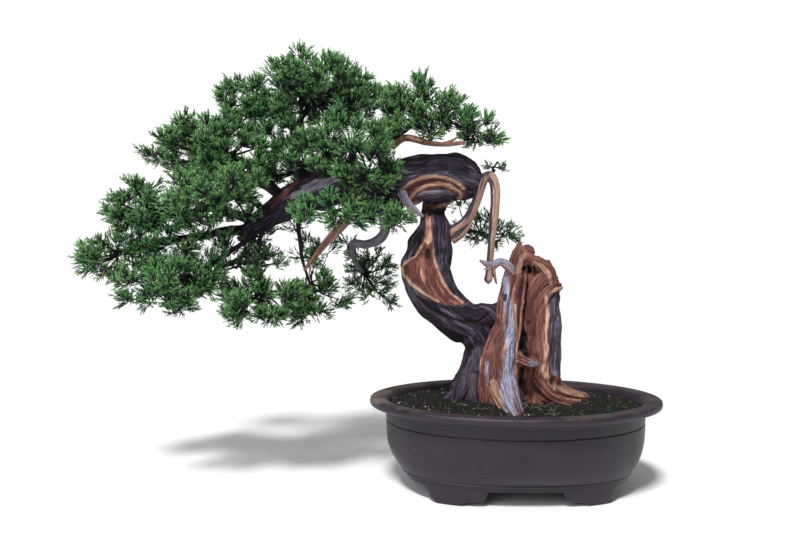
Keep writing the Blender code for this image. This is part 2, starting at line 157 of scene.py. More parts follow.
class Shape:
    """Points and faces gathered for one piece, with a value at each point for each named layer."""

    def __init__(self, *layers: str) -> None:
        """Starts an empty shape.

        Args:
            layers: The names of the values kept for each point.
        """
        self.points: list[Array] = []
        self.quads: list[Array] = []
        self.tris: list[Array] = []
        self.count = 0
        self.layers: dict[str, list[Array]] = {name: [] for name in layers}

    def add(self, points: Array, quads: Array | None = None, tris: Array | None = None,
            **layers: Array) -> None:
        """Adds a body.

        Args:
            points: Its points, (n, 3).
            quads: Its four-sided faces, counted from its own first point.
            tris: Its triangles, counted the same way.
            layers: A value, or a row of three, for each point and named layer.
        """
        self.points.append(points)
        if quads is not None:
            self.quads.append(np.asarray(quads) + self.count)
        if tris is not None:
            self.tris.append(np.asarray(tris) + self.count)
        for name, kept in self.layers.items():
            kept.append(np.asarray(layers.get(name, np.zeros(len(points))), float))
        self.count += len(points)

    def make(self, name: str, offset: Array, cells: Array | None = None) -> bpy.types.Object:
        """Writes the shape as an object.

        Args:
            name: The piece's name.
            offset: How far to move it from the pot's centre.
            cells: Where each point lies on the piece's flat map, (n, 2), if it has one.

        Returns:
            The new object.
        """
        quads = np.concatenate(self.quads) if self.quads else np.zeros((0, 4), int)
        tris = np.concatenate(self.tris) if self.tris else np.zeros((0, 3), int)
        points = np.concatenate(self.points) + offset
        corners = np.concatenate([quads.ravel(), tris.ravel()]).astype(np.int32)
        starts = np.concatenate([np.arange(len(quads)) * 4, len(quads) * 4 + np.arange(len(tris)) * 3])
        mesh = bpy.data.meshes.new(name)
        mesh.vertices.add(len(points))
        mesh.vertices.foreach_set("co", points.astype(np.float32).ravel())
        mesh.loops.add(len(corners))
        mesh.loops.foreach_set("vertex_index", corners)
        mesh.polygons.add(len(starts))
        mesh.polygons.foreach_set("loop_start", starts.astype(np.int32))
        mesh.update(calc_edges=True)
        for layer, kept in self.layers.items():
            values = np.concatenate(kept)
            wide = values.ndim == 2
            made = mesh.attributes.new(layer, "FLOAT_VECTOR" if wide else "FLOAT", "POINT")
            made.data.foreach_set("vector" if wide else "value", values.astype(np.float32).ravel())
        if cells is not None:
            flat = mesh.uv_layers.new(name="OFBake")
            flat.data.foreach_set("uv", cells[corners].astype(np.float32).ravel())
        mesh.shade_smooth()
        thing = bpy.data.objects.new(name, mesh)
        bpy.context.scene.collection.objects.link(thing)
        return thing


def smooth_route(route: Route, steps: int = 6) -> Array:
    """Points on the smooth curve through a route.

    Args:
        route: Points of (x, y, z, radius).
        steps: Points made for each span.

    Returns:
        The curve's points, (n, 4).
    """
    rows = np.array(route, float)
    rows = np.vstack([2 * rows[0] - rows[1], rows, 2 * rows[-1] - rows[-2]])
    t = np.arange(steps)[:, None] / steps
    found = []
    for a, b, c, d in zip(rows, rows[1:], rows[2:], rows[3:]):
        found.append(0.5
                     * (2 * b + (c - a) * t + (2 * a - 5 * b + 4 * c - d) * t**2 + (3 * b - a - 3 * c + d)
                        * t**3))
    return np.vstack([*found, rows[-2]])


def ring_quads(rings: int, sides: int) -> Array:
    """The faces between closed rings of points that follow one another.

    Args:
        rings: How many rings there are.
        sides: Points in each.

    Returns:
        The four points of each face.
    """
    ring, step = np.meshgrid(np.arange(rings - 1), np.arange(sides), indexing="ij")
    first, after = ring * sides + step, ring * sides + (step + 1) % sides
    return np.stack([first, after, after + sides, first + sides], axis=-1).reshape(-1, 4)


@dataclass
class Spine:
    """A limb's centre line, with a frame and a distance along it at each point."""

    at: Array
    radius: Array
    ahead: Array
    side: Array
    over: Array
    along: Array

    @classmethod
    def of(cls, curve: Array) -> "Spine":
        """Frames a curve without twist.

        Args:
            curve: Points of (x, y, z, radius).

        Returns:
            The framed line.
        """
        at = curve[:, :3]
        ahead = unit(np.gradient(at, axis=0))
        start = np.array([0.0, 1.0, 0.0]) if abs(ahead[0][1]) < 0.8 else np.array([1.0, 0.0, 0.0])
        side = [unit(start - ahead[0] * np.dot(start, ahead[0]))]
        for now in ahead[1:]:
            side.append(unit(side[-1] - now * np.dot(side[-1], now)))
        sides = np.array(side)
        steps = np.linalg.norm(np.diff(at, axis=0), axis=1)
        return cls(at, curve[:, 3], ahead, sides, np.cross(ahead, sides),
                   np.concatenate([[0], np.cumsum(steps)]))


def add_tube(shape: Shape, curve: Array, sides: int, lumps: float = 0.0, seed: int = 0,
             **layers: float) -> None:
    """Adds a closed tube with an uneven surface to a shape.

    Args:
        shape: The shape that takes it.
        curve: Points of (x, y, z, radius).
        sides: Sides of the tube.
        lumps: How uneven it is, as a share of its radius.
        seed: Which unevenness.
        layers: A value for each named layer.
    """
    spine = Spine.of(curve)
    turn = np.arange(sides) * 2 * math.pi / sides
    rings = len(curve)
    around = np.stack([np.cos(turn), np.sin(turn)], axis=1)
    out = spine.side[:, None] * around[None, :, :1] + spine.over[:, None] * around[None, :, 1:]
    grain = np.empty((rings, sides, 3))
    grain[..., :2] = around * GRAIN_AROUND
    grain[..., 2] = (spine.along * GRAIN_ALONG)[:, None]
    swell = np.ones((rings, sides))
    if lumps:
        flat = grain.reshape(-1, 3)
        swell += lumps * (ridges(flat * (90, 90, 260), seed) - 0.5).reshape(rings, sides)
        swell += lumps * grain_noise(flat * (40, 40, 420), seed + 1).reshape(rings, sides)
    points = (spine.at[:, None] + out * (spine.radius[:, None] * swell)[..., None]).reshape(-1, 3)
    points = np.vstack([points, spine.at[0], spine.at[-1] + spine.ahead[-1] * spine.radius[-1]])
    now, then, last = np.arange(sides), (np.arange(sides) + 1) % sides, (rings - 1) * sides
    tris = np.vstack([
        np.stack([then, now, np.full(sides, rings * sides)], axis=1),
        np.stack([last + now, last + then, np.full(sides, rings * sides + 1)], axis=1),
    ])
    values = {name: np.full(len(points), value) for name, value in layers.items()}
    values["grain"] = np.vstack([grain.reshape(-1, 3), grain[0, 0], grain[-1, 0]])
    shape.add(points, ring_quads(rings, sides), tris, **values)


def wobble(curve: Array, amount: float, seed: int) -> Array:
    """Bends a curve a little, but not at its start.

    Args:
        curve: Points of (x, y, z, radius).
        amount: How far it may move.
        seed: Which bends.

    Returns:
        The bent curve.
    """
    made = curve.copy()
    share = np.linspace(0, 1, len(curve))
    for axis in range(3):
        place = np.stack([share * 4, share * 0 + axis * 9.7, share * 0 + seed * 3.1], axis=1)
        made[:, axis] += amount * grain_noise(place, seed) * np.minimum(1, share * 4)
    return made


# ---------- materials


class Graph:
    """A material's nodes, with short ways to add and join them."""

    def __init__(self, name: str) -> None:
        """Starts a material with its shader.

        Args:
            name: The material's name.
        """
        self.material = bpy.data.materials.new(name)
        self.material.use_nodes = True
        self.tree = self.material.node_tree
        self.shader = self.tree.nodes["Principled BSDF"]
        self.here = self.tree.nodes.new("ShaderNodeTexCoord").outputs["Object"]

    def join(self, source: bpy.types.NodeSocket | float | tuple, target: bpy.types.NodeSocket) -> None:
        """Links a socket, or sets a plain value.

        Args:
            source: A socket or a value.
            target: The input that takes it.
        """
        if isinstance(source, bpy.types.NodeSocket):
            self.tree.links.new(source, target)
        elif isinstance(source, tuple) and len(source) == 3 and target.type == "RGBA":
            target.default_value = (*source, 1.0)
        else:
            target.default_value = source

    def layer(self, name: str, output: str = "Fac") -> bpy.types.NodeSocket:
        """Reads one of the mesh's own layers."""
        node = self.tree.nodes.new("ShaderNodeAttribute")
        node.attribute_name = name
        return node.outputs[output]

    def stretch(self, vector: bpy.types.NodeSocket,
                scale: tuple[float, float, float]) -> bpy.types.NodeSocket:
        """Scales coordinates by a different amount along each axis."""
        node = self.tree.nodes.new("ShaderNodeMapping")
        self.join(vector, node.inputs["Vector"])
        node.inputs["Scale"].default_value = scale
        return node.outputs["Vector"]

    def noise(self, vector: bpy.types.NodeSocket, scale: float, detail: float = 3.0, rough: float = 0.55,
              bend: float = 0.0) -> bpy.types.NodeSocket:
        """Adds a noise texture.

        Args:
            vector: Where it is sampled.
            scale: Cells a unit.
            detail: Octaves.
            rough: How strong the finer octaves are.
            bend: How much it is bent by itself.

        Returns:
            Its value, from 0 to 1.
        """
        node = self.tree.nodes.new("ShaderNodeTexNoise")
        self.join(vector, node.inputs["Vector"])
        node.inputs["Scale"].default_value = scale
        node.inputs["Detail"].default_value = detail
        node.inputs["Roughness"].default_value = rough
        node.inputs["Distortion"].default_value = bend
        return node.outputs["Fac"]

    def ramp(self, value: bpy.types.NodeSocket, *stops: tuple[float, Colour]) -> bpy.types.NodeSocket:
        """Turns a value into a colour through stops of (place, colour)."""
        node = self.tree.nodes.new("ShaderNodeValToRGB")
        self.join(value, node.inputs["Fac"])
        elements = node.color_ramp.elements
        while len(elements) < len(stops):
            elements.new(0.5)
        for element, (place, colour) in zip(elements, sorted(stops)):
            element.position = place
            element.color = (*colour, 1.0)
        return node.outputs["Color"]

    def level(self, value: bpy.types.NodeSocket, low: float, high: float, to_low: float = 0.0,
              to_high: float = 1.0) -> bpy.types.NodeSocket:
        """Maps a value from one range to another, clamped and eased at its ends."""
        node = self.tree.nodes.new("ShaderNodeMapRange")
        node.interpolation_type = "SMOOTHSTEP"
        for name, number in (("From Min", low), ("From Max", high), ("To Min", to_low), ("To Max", to_high)):
            node.inputs[name].default_value = number
        self.join(value, node.inputs["Value"])
        return node.outputs["Result"]

    def maths(self, kind: str, first: bpy.types.NodeSocket | float,
              second: bpy.types.NodeSocket | float = 0.0) -> bpy.types.NodeSocket:
        """Adds one sum, such as ADD or MULTIPLY."""
        node = self.tree.nodes.new("ShaderNodeMath")
        node.operation = kind
        self.join(first, node.inputs[0])
        self.join(second, node.inputs[1])
        return node.outputs[0]

    def mix(self, share: bpy.types.NodeSocket | float, first: bpy.types.NodeSocket | Colour,
            second: bpy.types.NodeSocket | Colour, kind: str = "MIX") -> bpy.types.NodeSocket:
        """Mixes two colours.

        Args:
            share: How much of the second.
            first: The colour underneath.
            second: The colour laid over it.
            kind: How they mix.

        Returns:
            The mixed colour.
        """
        node = self.tree.nodes.new("ShaderNodeMix")
        node.data_type = "RGBA"
        node.blend_type = kind
        self.join(share, node.inputs[0])
        self.join(first, node.inputs[6])
        self.join(second, node.inputs[7])
        return node.outputs[2]

    def bump(self, height: bpy.types.NodeSocket, distance: float, strength: float = 1.0) -> None:
        """Raises the surface by a height, in metres, before it is lit."""
        node = self.tree.nodes.new("ShaderNodeBump")
        node.inputs["Distance"].default_value = distance
        node.inputs["Strength"].default_value = strength
        self.join(height, node.inputs["Height"])
        self.join(node.outputs["Normal"], self.shader.inputs["Normal"])

    def finish(self, colour: bpy.types.NodeSocket | Colour, rough: bpy.types.NodeSocket | float,
               **shader: float) -> bpy.types.Material:
        """Joins the colour and roughness to the shader.

        Args:
            colour: The base colour.
            rough: The roughness.
            shader: Plain values for the shader's other inputs, by name with _ for a space.

        Returns:
            The finished material.
        """
        self.join(colour, self.shader.inputs["Base Color"])
        self.join(rough, self.shader.inputs["Roughness"])
        for name, value in shader.items():
            self.shader.inputs[name.replace("_", " ")].default_value = value
        return self.material


@dataclass(frozen=True)
class ClayFinish:
    """Dark unglazed stoneware, wiped and a little dusty, with dust and a painted highlight along the top of
    the rim.
    """

    deep: Colour = (0.01, 0.006, 0.012)
    warm: Colour = (0.023, 0.014, 0.026)
    dust: Colour = (0.17, 0.125, 0.105)

    def make(self) -> bpy.types.Material:
        """Builds the material."""
        g = Graph("clay")
        cloud = g.noise(g.here, 14, 4)
        wiped = g.noise(g.stretch(g.layer("wall", "Vector"), (14, 40, 1)), 5, 5, 0.62, 0.3)
        sand = g.noise(g.here, 900, 2)
        tone = g.maths("ADD", g.maths("MULTIPLY", cloud, 0.5), g.maths("MULTIPLY", wiped, 0.5))
        body = g.ramp(tone, (0.36, self.deep), (0.64, self.warm))
        body = g.mix(g.level(sand, 0.66, 0.78, 0, 0.18), body, self.dust)
        # Dust on the rim's top together with a painted highlight there, stronger towards the left and back.
        rim_dust_and_highlight = g.maths("MULTIPLY", g.layer("dust"), g.level(g.noise(g.here, 22, 5, 0.65), 0.35, 0.68))
        body = g.mix(rim_dust_and_highlight, body, self.dust)
        grit = g.noise(g.here, 1500, 3, 0.7)
        g.bump(g.maths("ADD", grit, g.maths("MULTIPLY", wiped, 1.5)), 0.0002, 0.5)
        rough = g.maths("ADD", g.level(cloud, 0.3, 0.7, 0.4, 0.54), g.maths("MULTIPLY", rim_dust_and_highlight, 0.3))
        return g.finish(body, rough, Specular_IOR_Level=0.42)


@dataclass(frozen=True)
class GroundFinish:
    """Dark crumbly soil under a thin growth of moss."""

    crumb: Colour = (0.002, 0.0015, 0.003)
    dry: Colour = (0.018, 0.013, 0.018)
    moss: Colour = (0.004, 0.006, 0.003)
    fresh: Colour = (0.018, 0.026, 0.009)

    def make(self, name: str) -> bpy.types.Material:
        """Builds the material under a name."""
        g = Graph(name)
        crumbs = g.noise(g.here, 420, 5, 0.7)
        patch = g.noise(g.here, 30, 4, 0.65)
        earth = g.ramp(crumbs, (0.38, self.crumb), (0.66, self.dry))
        growth = g.ramp(g.noise(g.here, 650, 3, 0.7), (0.35, self.moss), (0.7, self.fresh))
        body = g.mix(g.level(patch, 0.44, 0.6, 0.0, 0.8), earth, growth)
        g.bump(g.maths("ADD", crumbs, g.noise(g.here, 1300, 2)), 0.0016, 0.9)
        return g.finish(body, g.level(crumbs, 0.3, 0.7, 0.82, 0.98), Specular_IOR_Level=0.25)


@dataclass(frozen=True)
class PlantFinish:
    """Green growth from its dark foot, painted shade, to its bright tip, partly fresh growth and partly
    painted highlight, with woody stems where they show.
    """

    name: str
    foot: Colour
    leaf: Colour
    tip: Colour
    cool: Colour
    stem: Colour = (0.03, 0.02, 0.02)

    def make(self) -> bpy.types.Material:
        """Builds the material."""
        g = Graph(self.name)
        rise = g.layer("rise")
        hue = g.layer("hue")
        scaly = g.noise(g.here, 1100, 2, 0.6)
        lift = g.maths("ADD", rise, g.maths("MULTIPLY", g.maths("SUBTRACT", scaly, 0.5), 0.5))
        # The foot colour is painted shade deep in the growth, and the tip colour is partly fresh growth and
        # partly a painted highlight.
        green = g.ramp(lift, (0.05, self.foot), (0.52, self.leaf), (0.97, self.tip))
        green = g.mix(g.level(hue, 0.45, 1.0, 0.0, 0.75), green, g.mix(1.0, green, self.cool, "MULTIPLY"))
        body = g.mix(g.layer("woody"), green, self.stem)
        g.bump(scaly, 0.0006, 0.7)
        return g.finish(body, g.level(scaly, 0.3, 0.7, 0.48, 0.68), Specular_IOR_Level=0.35)


@dataclass(frozen=True)
class BarkFinish:
    """Stringy juniper bark, with the bare wood of a shari where it has come away."""

    name: str
    furrow: Colour = (0.003, 0.002, 0.005)
    strand: Colour = (0.022, 0.015, 0.028)
    crest: Colour = (0.14, 0.11, 0.182)
    rust: Colour = (0.06, 0.022, 0.02)

    def make(self) -> bpy.types.Material:
        """Builds the material."""
        g = Graph(self.name)
        grain = g.layer("grain", "Vector")
        strands = g.noise(grain, 430, 5, 0.66, 0.4)
        cords = g.noise(grain, 130, 4, 0.6, 0.6)
        tone = g.maths("ADD", g.maths("MULTIPLY", strands, 0.6), g.maths("MULTIPLY", cords, 0.4))
        skin = g.ramp(tone, (0.4, self.furrow), (0.52, self.strand), (0.64, self.crest))
        flush = g.level(g.noise(grain, 48, 3), 0.52, 0.66, 0, 0.55)
        skin = g.mix(flush, skin, self.rust)
        crack = g.level(g.maths("ABSOLUTE", g.maths("SUBTRACT", cords, 0.5)), 0.0, 0.022, 0.85, 0.0)
        skin = g.mix(crack, skin, self.furrow)
        # Grey wear, and grey painted highlights on the trunk's base, the limb's top and the head's top.
        skin = g.mix(g.layer("worn"), skin,
                     g.ramp(strands, (0.35, (0.07, 0.06, 0.08)), (0.65, (0.4, 0.36, 0.43))))
        # Painted shade: the bark turns to the furrow colour where its surface is pressed in.
        skin = g.mix(g.level(g.layer("relief"), -0.0022, -0.0006, 0.75, 0.0), skin, self.furrow)
        wood = WoodColours().paint(g, grain)
        body = g.mix(g.layer("bare"), skin, wood)
        # Painted shade, nearly black, in the holes and grooves and over the shaded underside of the trunk.
        body = g.mix(g.layer("painted_shade_and_dark_bark"), body, (0.006, 0.003, 0.004))
        g.bump(g.maths("ADD", strands, g.maths("MULTIPLY", cords, 0.8)), 0.003, 0.9)
        rough = g.maths("SUBTRACT", g.level(tone, 0.3, 0.7, 0.86, 0.6),
                        g.maths("MULTIPLY", g.layer("bare"), 0.12))
        return g.finish(body, rough, Specular_IOR_Level=0.22)


@dataclass(frozen=True)
class WoodColours:
    """The colours of bare juniper wood: red and orange heartwood, cream edges and weathered silver."""

    dark: Colour = (0.034, 0.01, 0.01)
    red: Colour = (0.15, 0.049, 0.042)
    orange: Colour = (0.34, 0.142, 0.098)
    cream: Colour = (0.67, 0.46, 0.325)
    shade: Colour = (0.08, 0.074, 0.12)
    silver: Colour = (0.43, 0.43, 0.56)

    def paint(self, g: Graph, grain: bpy.types.NodeSocket) -> bpy.types.NodeSocket:
        """Adds the wood's colours to a material.

        Args:
            g: The material's nodes.
            grain: Coordinates around and along the limb.

        Returns:
            The wood's colour.
        """
        fine = g.noise(grain, 520, 4, 0.6, 0.3)
        bands = g.noise(grain, 130, 4, 0.6, 0.8)
        tone = g.maths("ADD", g.maths("MULTIPLY", fine, 0.5), g.maths("MULTIPLY", bands, 0.5))
        wood = g.ramp(tone, (0.37, self.dark), (0.47, self.red), (0.58, self.orange), (0.68, self.cream))
        line = g.level(g.maths("ABSOLUTE", g.maths("SUBTRACT", bands, 0.5)), 0.0, 0.018, 0.75, 0.0)
        wood = g.mix(g.layer("rust"), wood, g.ramp(tone, (0.35, self.dark), (0.65, self.red)))
        pale = g.ramp(fine, (0.36, self.orange), (0.58, self.cream))
        wood = g.mix(g.layer("pale"), wood, pale)
        grey = g.ramp(fine, (0.36, self.shade), (0.6, self.silver))
        wood = g.mix(g.layer("silver"), wood, grey)
        return g.mix(line, wood, self.dark)


@dataclass(frozen=True)
class DeadFinish:
    """Old bare wood with its grain open, bark left on it in places."""

    name: str = "dead_wood"

    def make(self) -> bpy.types.Material:
        """Builds the material."""
        g = Graph(self.name)
        grain = g.layer("grain", "Vector")
        wood = WoodColours().paint(g, grain)
        # Painted shade: the wood turns dark red-brown where its surface is pressed in.
        wood = g.mix(g.level(g.layer("relief"), -0.0024, -0.0004, 0.8, 0.0), wood, (0.03, 0.009, 0.006))
        strands = g.noise(grain, 330, 5, 0.62, 0.4)
        skin = g.ramp(strands, (0.38, (0.012, 0.009, 0.017)), (0.52, (0.06, 0.046, 0.07)),
                      (0.66, (0.23, 0.2, 0.27)))
        body = g.mix(g.layer("barked"), wood, skin)
        # Painted shade, nearly black, in the cleft, holes and grooves; on a jin, dark bark in the middle of
        # its bark.
        body = g.mix(g.layer("painted_shade_and_dark_bark"), body, (0.005, 0.003, 0.004))
        g.bump(g.maths("ADD", strands, g.noise(grain, 900, 2)), 0.0022, 0.7)
        return g.finish(body, g.level(strands, 0.3, 0.7, 0.72, 0.52), Specular_IOR_Level=0.35)


@dataclass(frozen=True)
class StoneFinish:
    """Mixed grit, from white pumice to dark akadama."""

    dark: Colour = (0.03, 0.024, 0.022)
    tan: Colour = (0.23, 0.16, 0.1)
    white: Colour = (0.62, 0.6, 0.57)

    def make(self) -> bpy.types.Material:
        """Builds the material."""
        g = Graph("grit")
        speck = g.noise(g.here, 1400, 3, 0.7)
        body = g.ramp(g.layer("hue"), (0.3, self.dark), (0.62, self.tan), (0.84, self.white))
        body = g.mix(g.level(speck, 0.45, 0.75, 0.0, 0.5), body, self.dark)
        g.bump(speck, 0.0004, 0.8)
        return g.finish(body, g.level(speck, 0.3, 0.7, 0.75, 0.95))


@dataclass(frozen=True)
class PlasticFinish:
    """Black moulded mesh over the drain holes, dusty with soil."""

    body: Colour = (0.012, 0.012, 0.013)
    soil: Colour = (0.07, 0.055, 0.045)

    def make(self) -> bpy.types.Material:
        """Builds the material."""
        g = Graph("screen_plastic")
        dust = g.noise(g.here, 260, 4, 0.65)
        colour = g.mix(g.level(dust, 0.45, 0.7, 0.0, 0.6), self.body, self.soil)
        g.bump(dust, 0.0002, 0.5)
        return g.finish(colour, g.level(dust, 0.3, 0.7, 0.38, 0.75))


@dataclass(frozen=True)
class FloorFinish:
    """The plain pale floor."""

    tone: Colour = (0.92, 0.92, 0.93)

    def make(self) -> bpy.types.Material:
        """Builds the material."""
        g = Graph("floor")
        cloud = g.noise(g.here, 3, 2)
        return g.finish(g.ramp(cloud, (0.3, self.tone), (0.7, (0.95, 0.95, 0.95))), 0.9,
                        Specular_IOR_Level=0.1)


# ---------- painting on the wood


def edge_distance(at: Array, line: Line, closed: bool = False) -> tuple[Array, Array]:
    """Distances from points to a line drawn on the front of the wood.

    Args:
        at: Points of (x, z).
        line: The line's corners.
        closed: Whether it comes back to its start.

    Returns:
        Each point's distance, and how far along the line its nearest place is, counted in corners.
    """
    corners = np.array(line + line[:1] if closed else line, float)
    best = np.full(len(at), 9.0)
    place = np.zeros(len(at))
    for number, (a, b) in enumerate(zip(corners, corners[1:])):
        step = b - a
        share = np.clip((at - a) @ step / max(step @ step, 1e-12), 0, 1)
        gap = np.linalg.norm(at - a - share[:, None] * step, axis=1)
        nearer = gap < best
        best = np.where(nearer, gap, best)
        place = np.where(nearer, number + share, place)
    return best, place


def inside(at: Array, outline: Line) -> Array:
    """How deep points lie inside a closed outline.

    Args:
        at: Points of (x, z).
        outline: Its corners.

    Returns:
        Distances to its edge, below zero outside.
    """
    found = np.zeros(len(at), bool)
    for (ax, az), (bx, bz) in zip(outline, outline[1:] + outline[:1]):
        if az != bz:
            crosses = (az > at[:, 1]) != (bz > at[:, 1])
            found ^= crosses & (at[:, 0] < (bx - ax) * (at[:, 1] - az) / (bz - az) + ax)
    gap, _ = edge_distance(at, outline, closed=True)
    return np.where(found, gap, -gap)


@dataclass(frozen=True)
class Stroke:
    """A streak along the front of the wood, in one of its layers, that may also cut in or stand out."""

    layer: str
    line: Line
    widths: tuple[float, ...]
    strength: float = 1.0
    raise_by: float = 0.0
    ragged: float = 0.25

    def cover(self, at: Array) -> Array:
        """How much the stroke covers each point, 1 at its middle and 0 beyond its edge."""
        gap, place = edge_distance(at, self.line)
        spots = np.linspace(0, len(self.line) - 1, len(self.widths))
        width = np.interp(place, spots, self.widths)
        rough = grain_noise(np.stack([at[:, 0] * 260, at[:, 1] * 90, place * 0], axis=1), 5)
        return ease(gap / width + self.ragged * rough, 1.15, 0.75)


@dataclass
class FusedWood:
    """Limbs grown into one body: its surface, and where each point of it lies on the limb it belongs to.

    Attributes:
        routes: The limbs.
        voxel: How fine its faces are.
        swells: The limbs that only swell another one, whose grain runs on over them.
    """

    routes: tuple[Route, ...]
    voxel: float
    swells: tuple[int, ...] = ()
    points: Array = field(default_factory=lambda: np.zeros((0, 3)))
    faces: Array = field(default_factory=lambda: np.zeros((0, 4), int))
    edges: Array = field(default_factory=lambda: np.zeros((0, 2), int))
    grain: Array = field(default_factory=lambda: np.zeros((0, 3)))
    owner: Array = field(default_factory=lambda: np.zeros(0, int))
    relief: Array = field(default_factory=lambda: np.zeros(0))

    def grow(self) -> None:
        """Joins the limbs' tubes into one surface of small even faces."""
        shape = Shape()
        for number, route in enumerate(self.routes):
            add_tube(shape, smooth_route(route), LIMB_SIDES, LIMB_LUMPS, number)
        rough = shape.make("growing", np.zeros(3))
        knit = rough.modifiers.new("knit", "REMESH")
        knit.mode = "VOXEL"
        knit.voxel_size = self.voxel
        graph = bpy.context.evaluated_depsgraph_get()
        mesh = bpy.data.meshes.new_from_object(rough.evaluated_get(graph))
        self.points = np.empty(len(mesh.vertices) * 3)
        mesh.vertices.foreach_get("co", self.points)
        self.points = self.points.reshape(-1, 3)
        corners = np.empty(len(mesh.loops), int)
        mesh.loops.foreach_get("vertex_index", corners)
        self.faces = corners.reshape(-1, 4)
        pairs = np.empty(len(mesh.edges) * 2, int)
        mesh.edges.foreach_get("vertices", pairs)
        self.edges = pairs.reshape(-1, 2)
        bpy.data.objects.remove(rough)
        bpy.data.meshes.remove(mesh)
        self.relax(3)
        self.locate()
        self.relief = np.zeros(len(self.points))

    def relax(self, rounds: int) -> None:
        """Evens the surface by moving each point towards its neighbours."""
        first, second = self.edges.T
        total = len(self.points)
        ways = np.bincount(first, minlength=total) + np.bincount(second, minlength=total)
        for _ in range(rounds):
            near = np.stack([
                np.bincount(first, self.points[second, axis], total)
                + np.bincount(second, self.points[first, axis], total) for axis in range(3)
            ], axis=1)
            self.points = 0.5 * self.points + 0.5 * near / ways[:, None]

    def locate(self) -> None:
        """Finds each point's limb, and its place around and along it."""
        numbers = [number for number in range(len(self.routes)) if number not in self.swells]
        spines = [Spine.of(smooth_route(self.routes[number], 10)) for number in numbers]
        at, radius, ahead, side, over, along = (
            np.concatenate([getattr(spine, name) for spine in spines])
            for name in ("at", "radius", "ahead", "side", "over", "along")
        )
        owner = np.concatenate([np.full(len(spine.at), number) for number, spine in zip(numbers, spines)])
        nearest = np.empty(len(self.points), int)
        for start in range(0, len(self.points), BATCH):
            rows = self.points[start : start + BATCH]
            gap = np.linalg.norm(rows[:, None] - at[None], axis=2) / (radius[None] + 0.004)
            nearest[start : start + BATCH] = gap.argmin(axis=1)
        out = self.points - at[nearest]
        turn = np.arctan2((out * over[nearest]).sum(1), (out * side[nearest]).sum(1))
        length = along[nearest] + (out * ahead[nearest]).sum(1)
        self.owner = owner[nearest]
        self.grain = np.stack([
            np.cos(turn) * GRAIN_AROUND,
            np.sin(turn) * GRAIN_AROUND,
            length * GRAIN_ALONG + self.owner * GRAIN_STEP,
        ], axis=1)

    def normals(self) -> Array:
        """Directions out of the surface at its points."""
        a, b, c, d = (self.points[self.faces[:, i]] for i in range(4))
        out = np.cross(c - a, d - b)
        total = len(self.points)
        summed = np.stack([
            sum(np.bincount(self.faces[:, i], out[:, axis], total) for i in range(4)) for axis in range(3)
        ], axis=1)
        return unit(summed)

    def press(self, amount: Array) -> None:
        """Moves each point out along its normal by an amount, and remembers it as relief."""
        self.points = self.points + self.normals() * amount[:, None]
        self.relief = self.relief + amount

    def push_back(self, amount: Array) -> None:
        """Moves points away from the front."""
        self.points = self.points + np.stack([amount * 0, amount, amount * 0], axis=1)

    def front(self) -> Array:
        """How far each point faces the front, from 0 to 1."""
        return ease(-self.normals()[:, 1], -0.15, 0.35)

    def flat(self) -> Array:
        """Each point's (x, z)."""
        return self.points[:, [0, 2]]

    def frayed(self, amount: float) -> Array:
        """Each point's (x, z) shifted by up to an amount, which gives painted areas a fibrous edge."""
        shifts = [grain_noise(self.grain * 260, seed) for seed in (8, 9)]
        return self.flat() + amount * np.stack(shifts, axis=1)

    def turns(self) -> Array:
        """Each point's place on its limb: the cosine and sine of its turn, and its way along."""
        return self.grain * (1 / GRAIN_AROUND, 1 / GRAIN_AROUND, 1 / GRAIN_ALONG)


# ---------- the pieces


@dataclass
class Stand:
    """Where the whole object stands, and how finished pieces are handed over."""

    offset: Array

    @classmethod
    def at_pot(cls) -> "Stand":
        """Finds the pot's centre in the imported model."""
        low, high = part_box("pot")
        return cls(np.array([(low.x + high.x) / 2, (low.y + high.y) / 2, 0.0]))

    def hand_over(self, piece: bpy.types.Object, material: bpy.types.Material, slot: Slot,
                  *nodes: str) -> None:
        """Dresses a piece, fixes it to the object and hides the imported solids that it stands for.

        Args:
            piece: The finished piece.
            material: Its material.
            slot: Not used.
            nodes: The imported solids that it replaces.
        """
        piece.data.materials.append(material)
        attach(piece, "root")
        if nodes:
            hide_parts(*nodes)
        LOG.info("%s: %d faces", piece.name, len(piece.data.polygons))


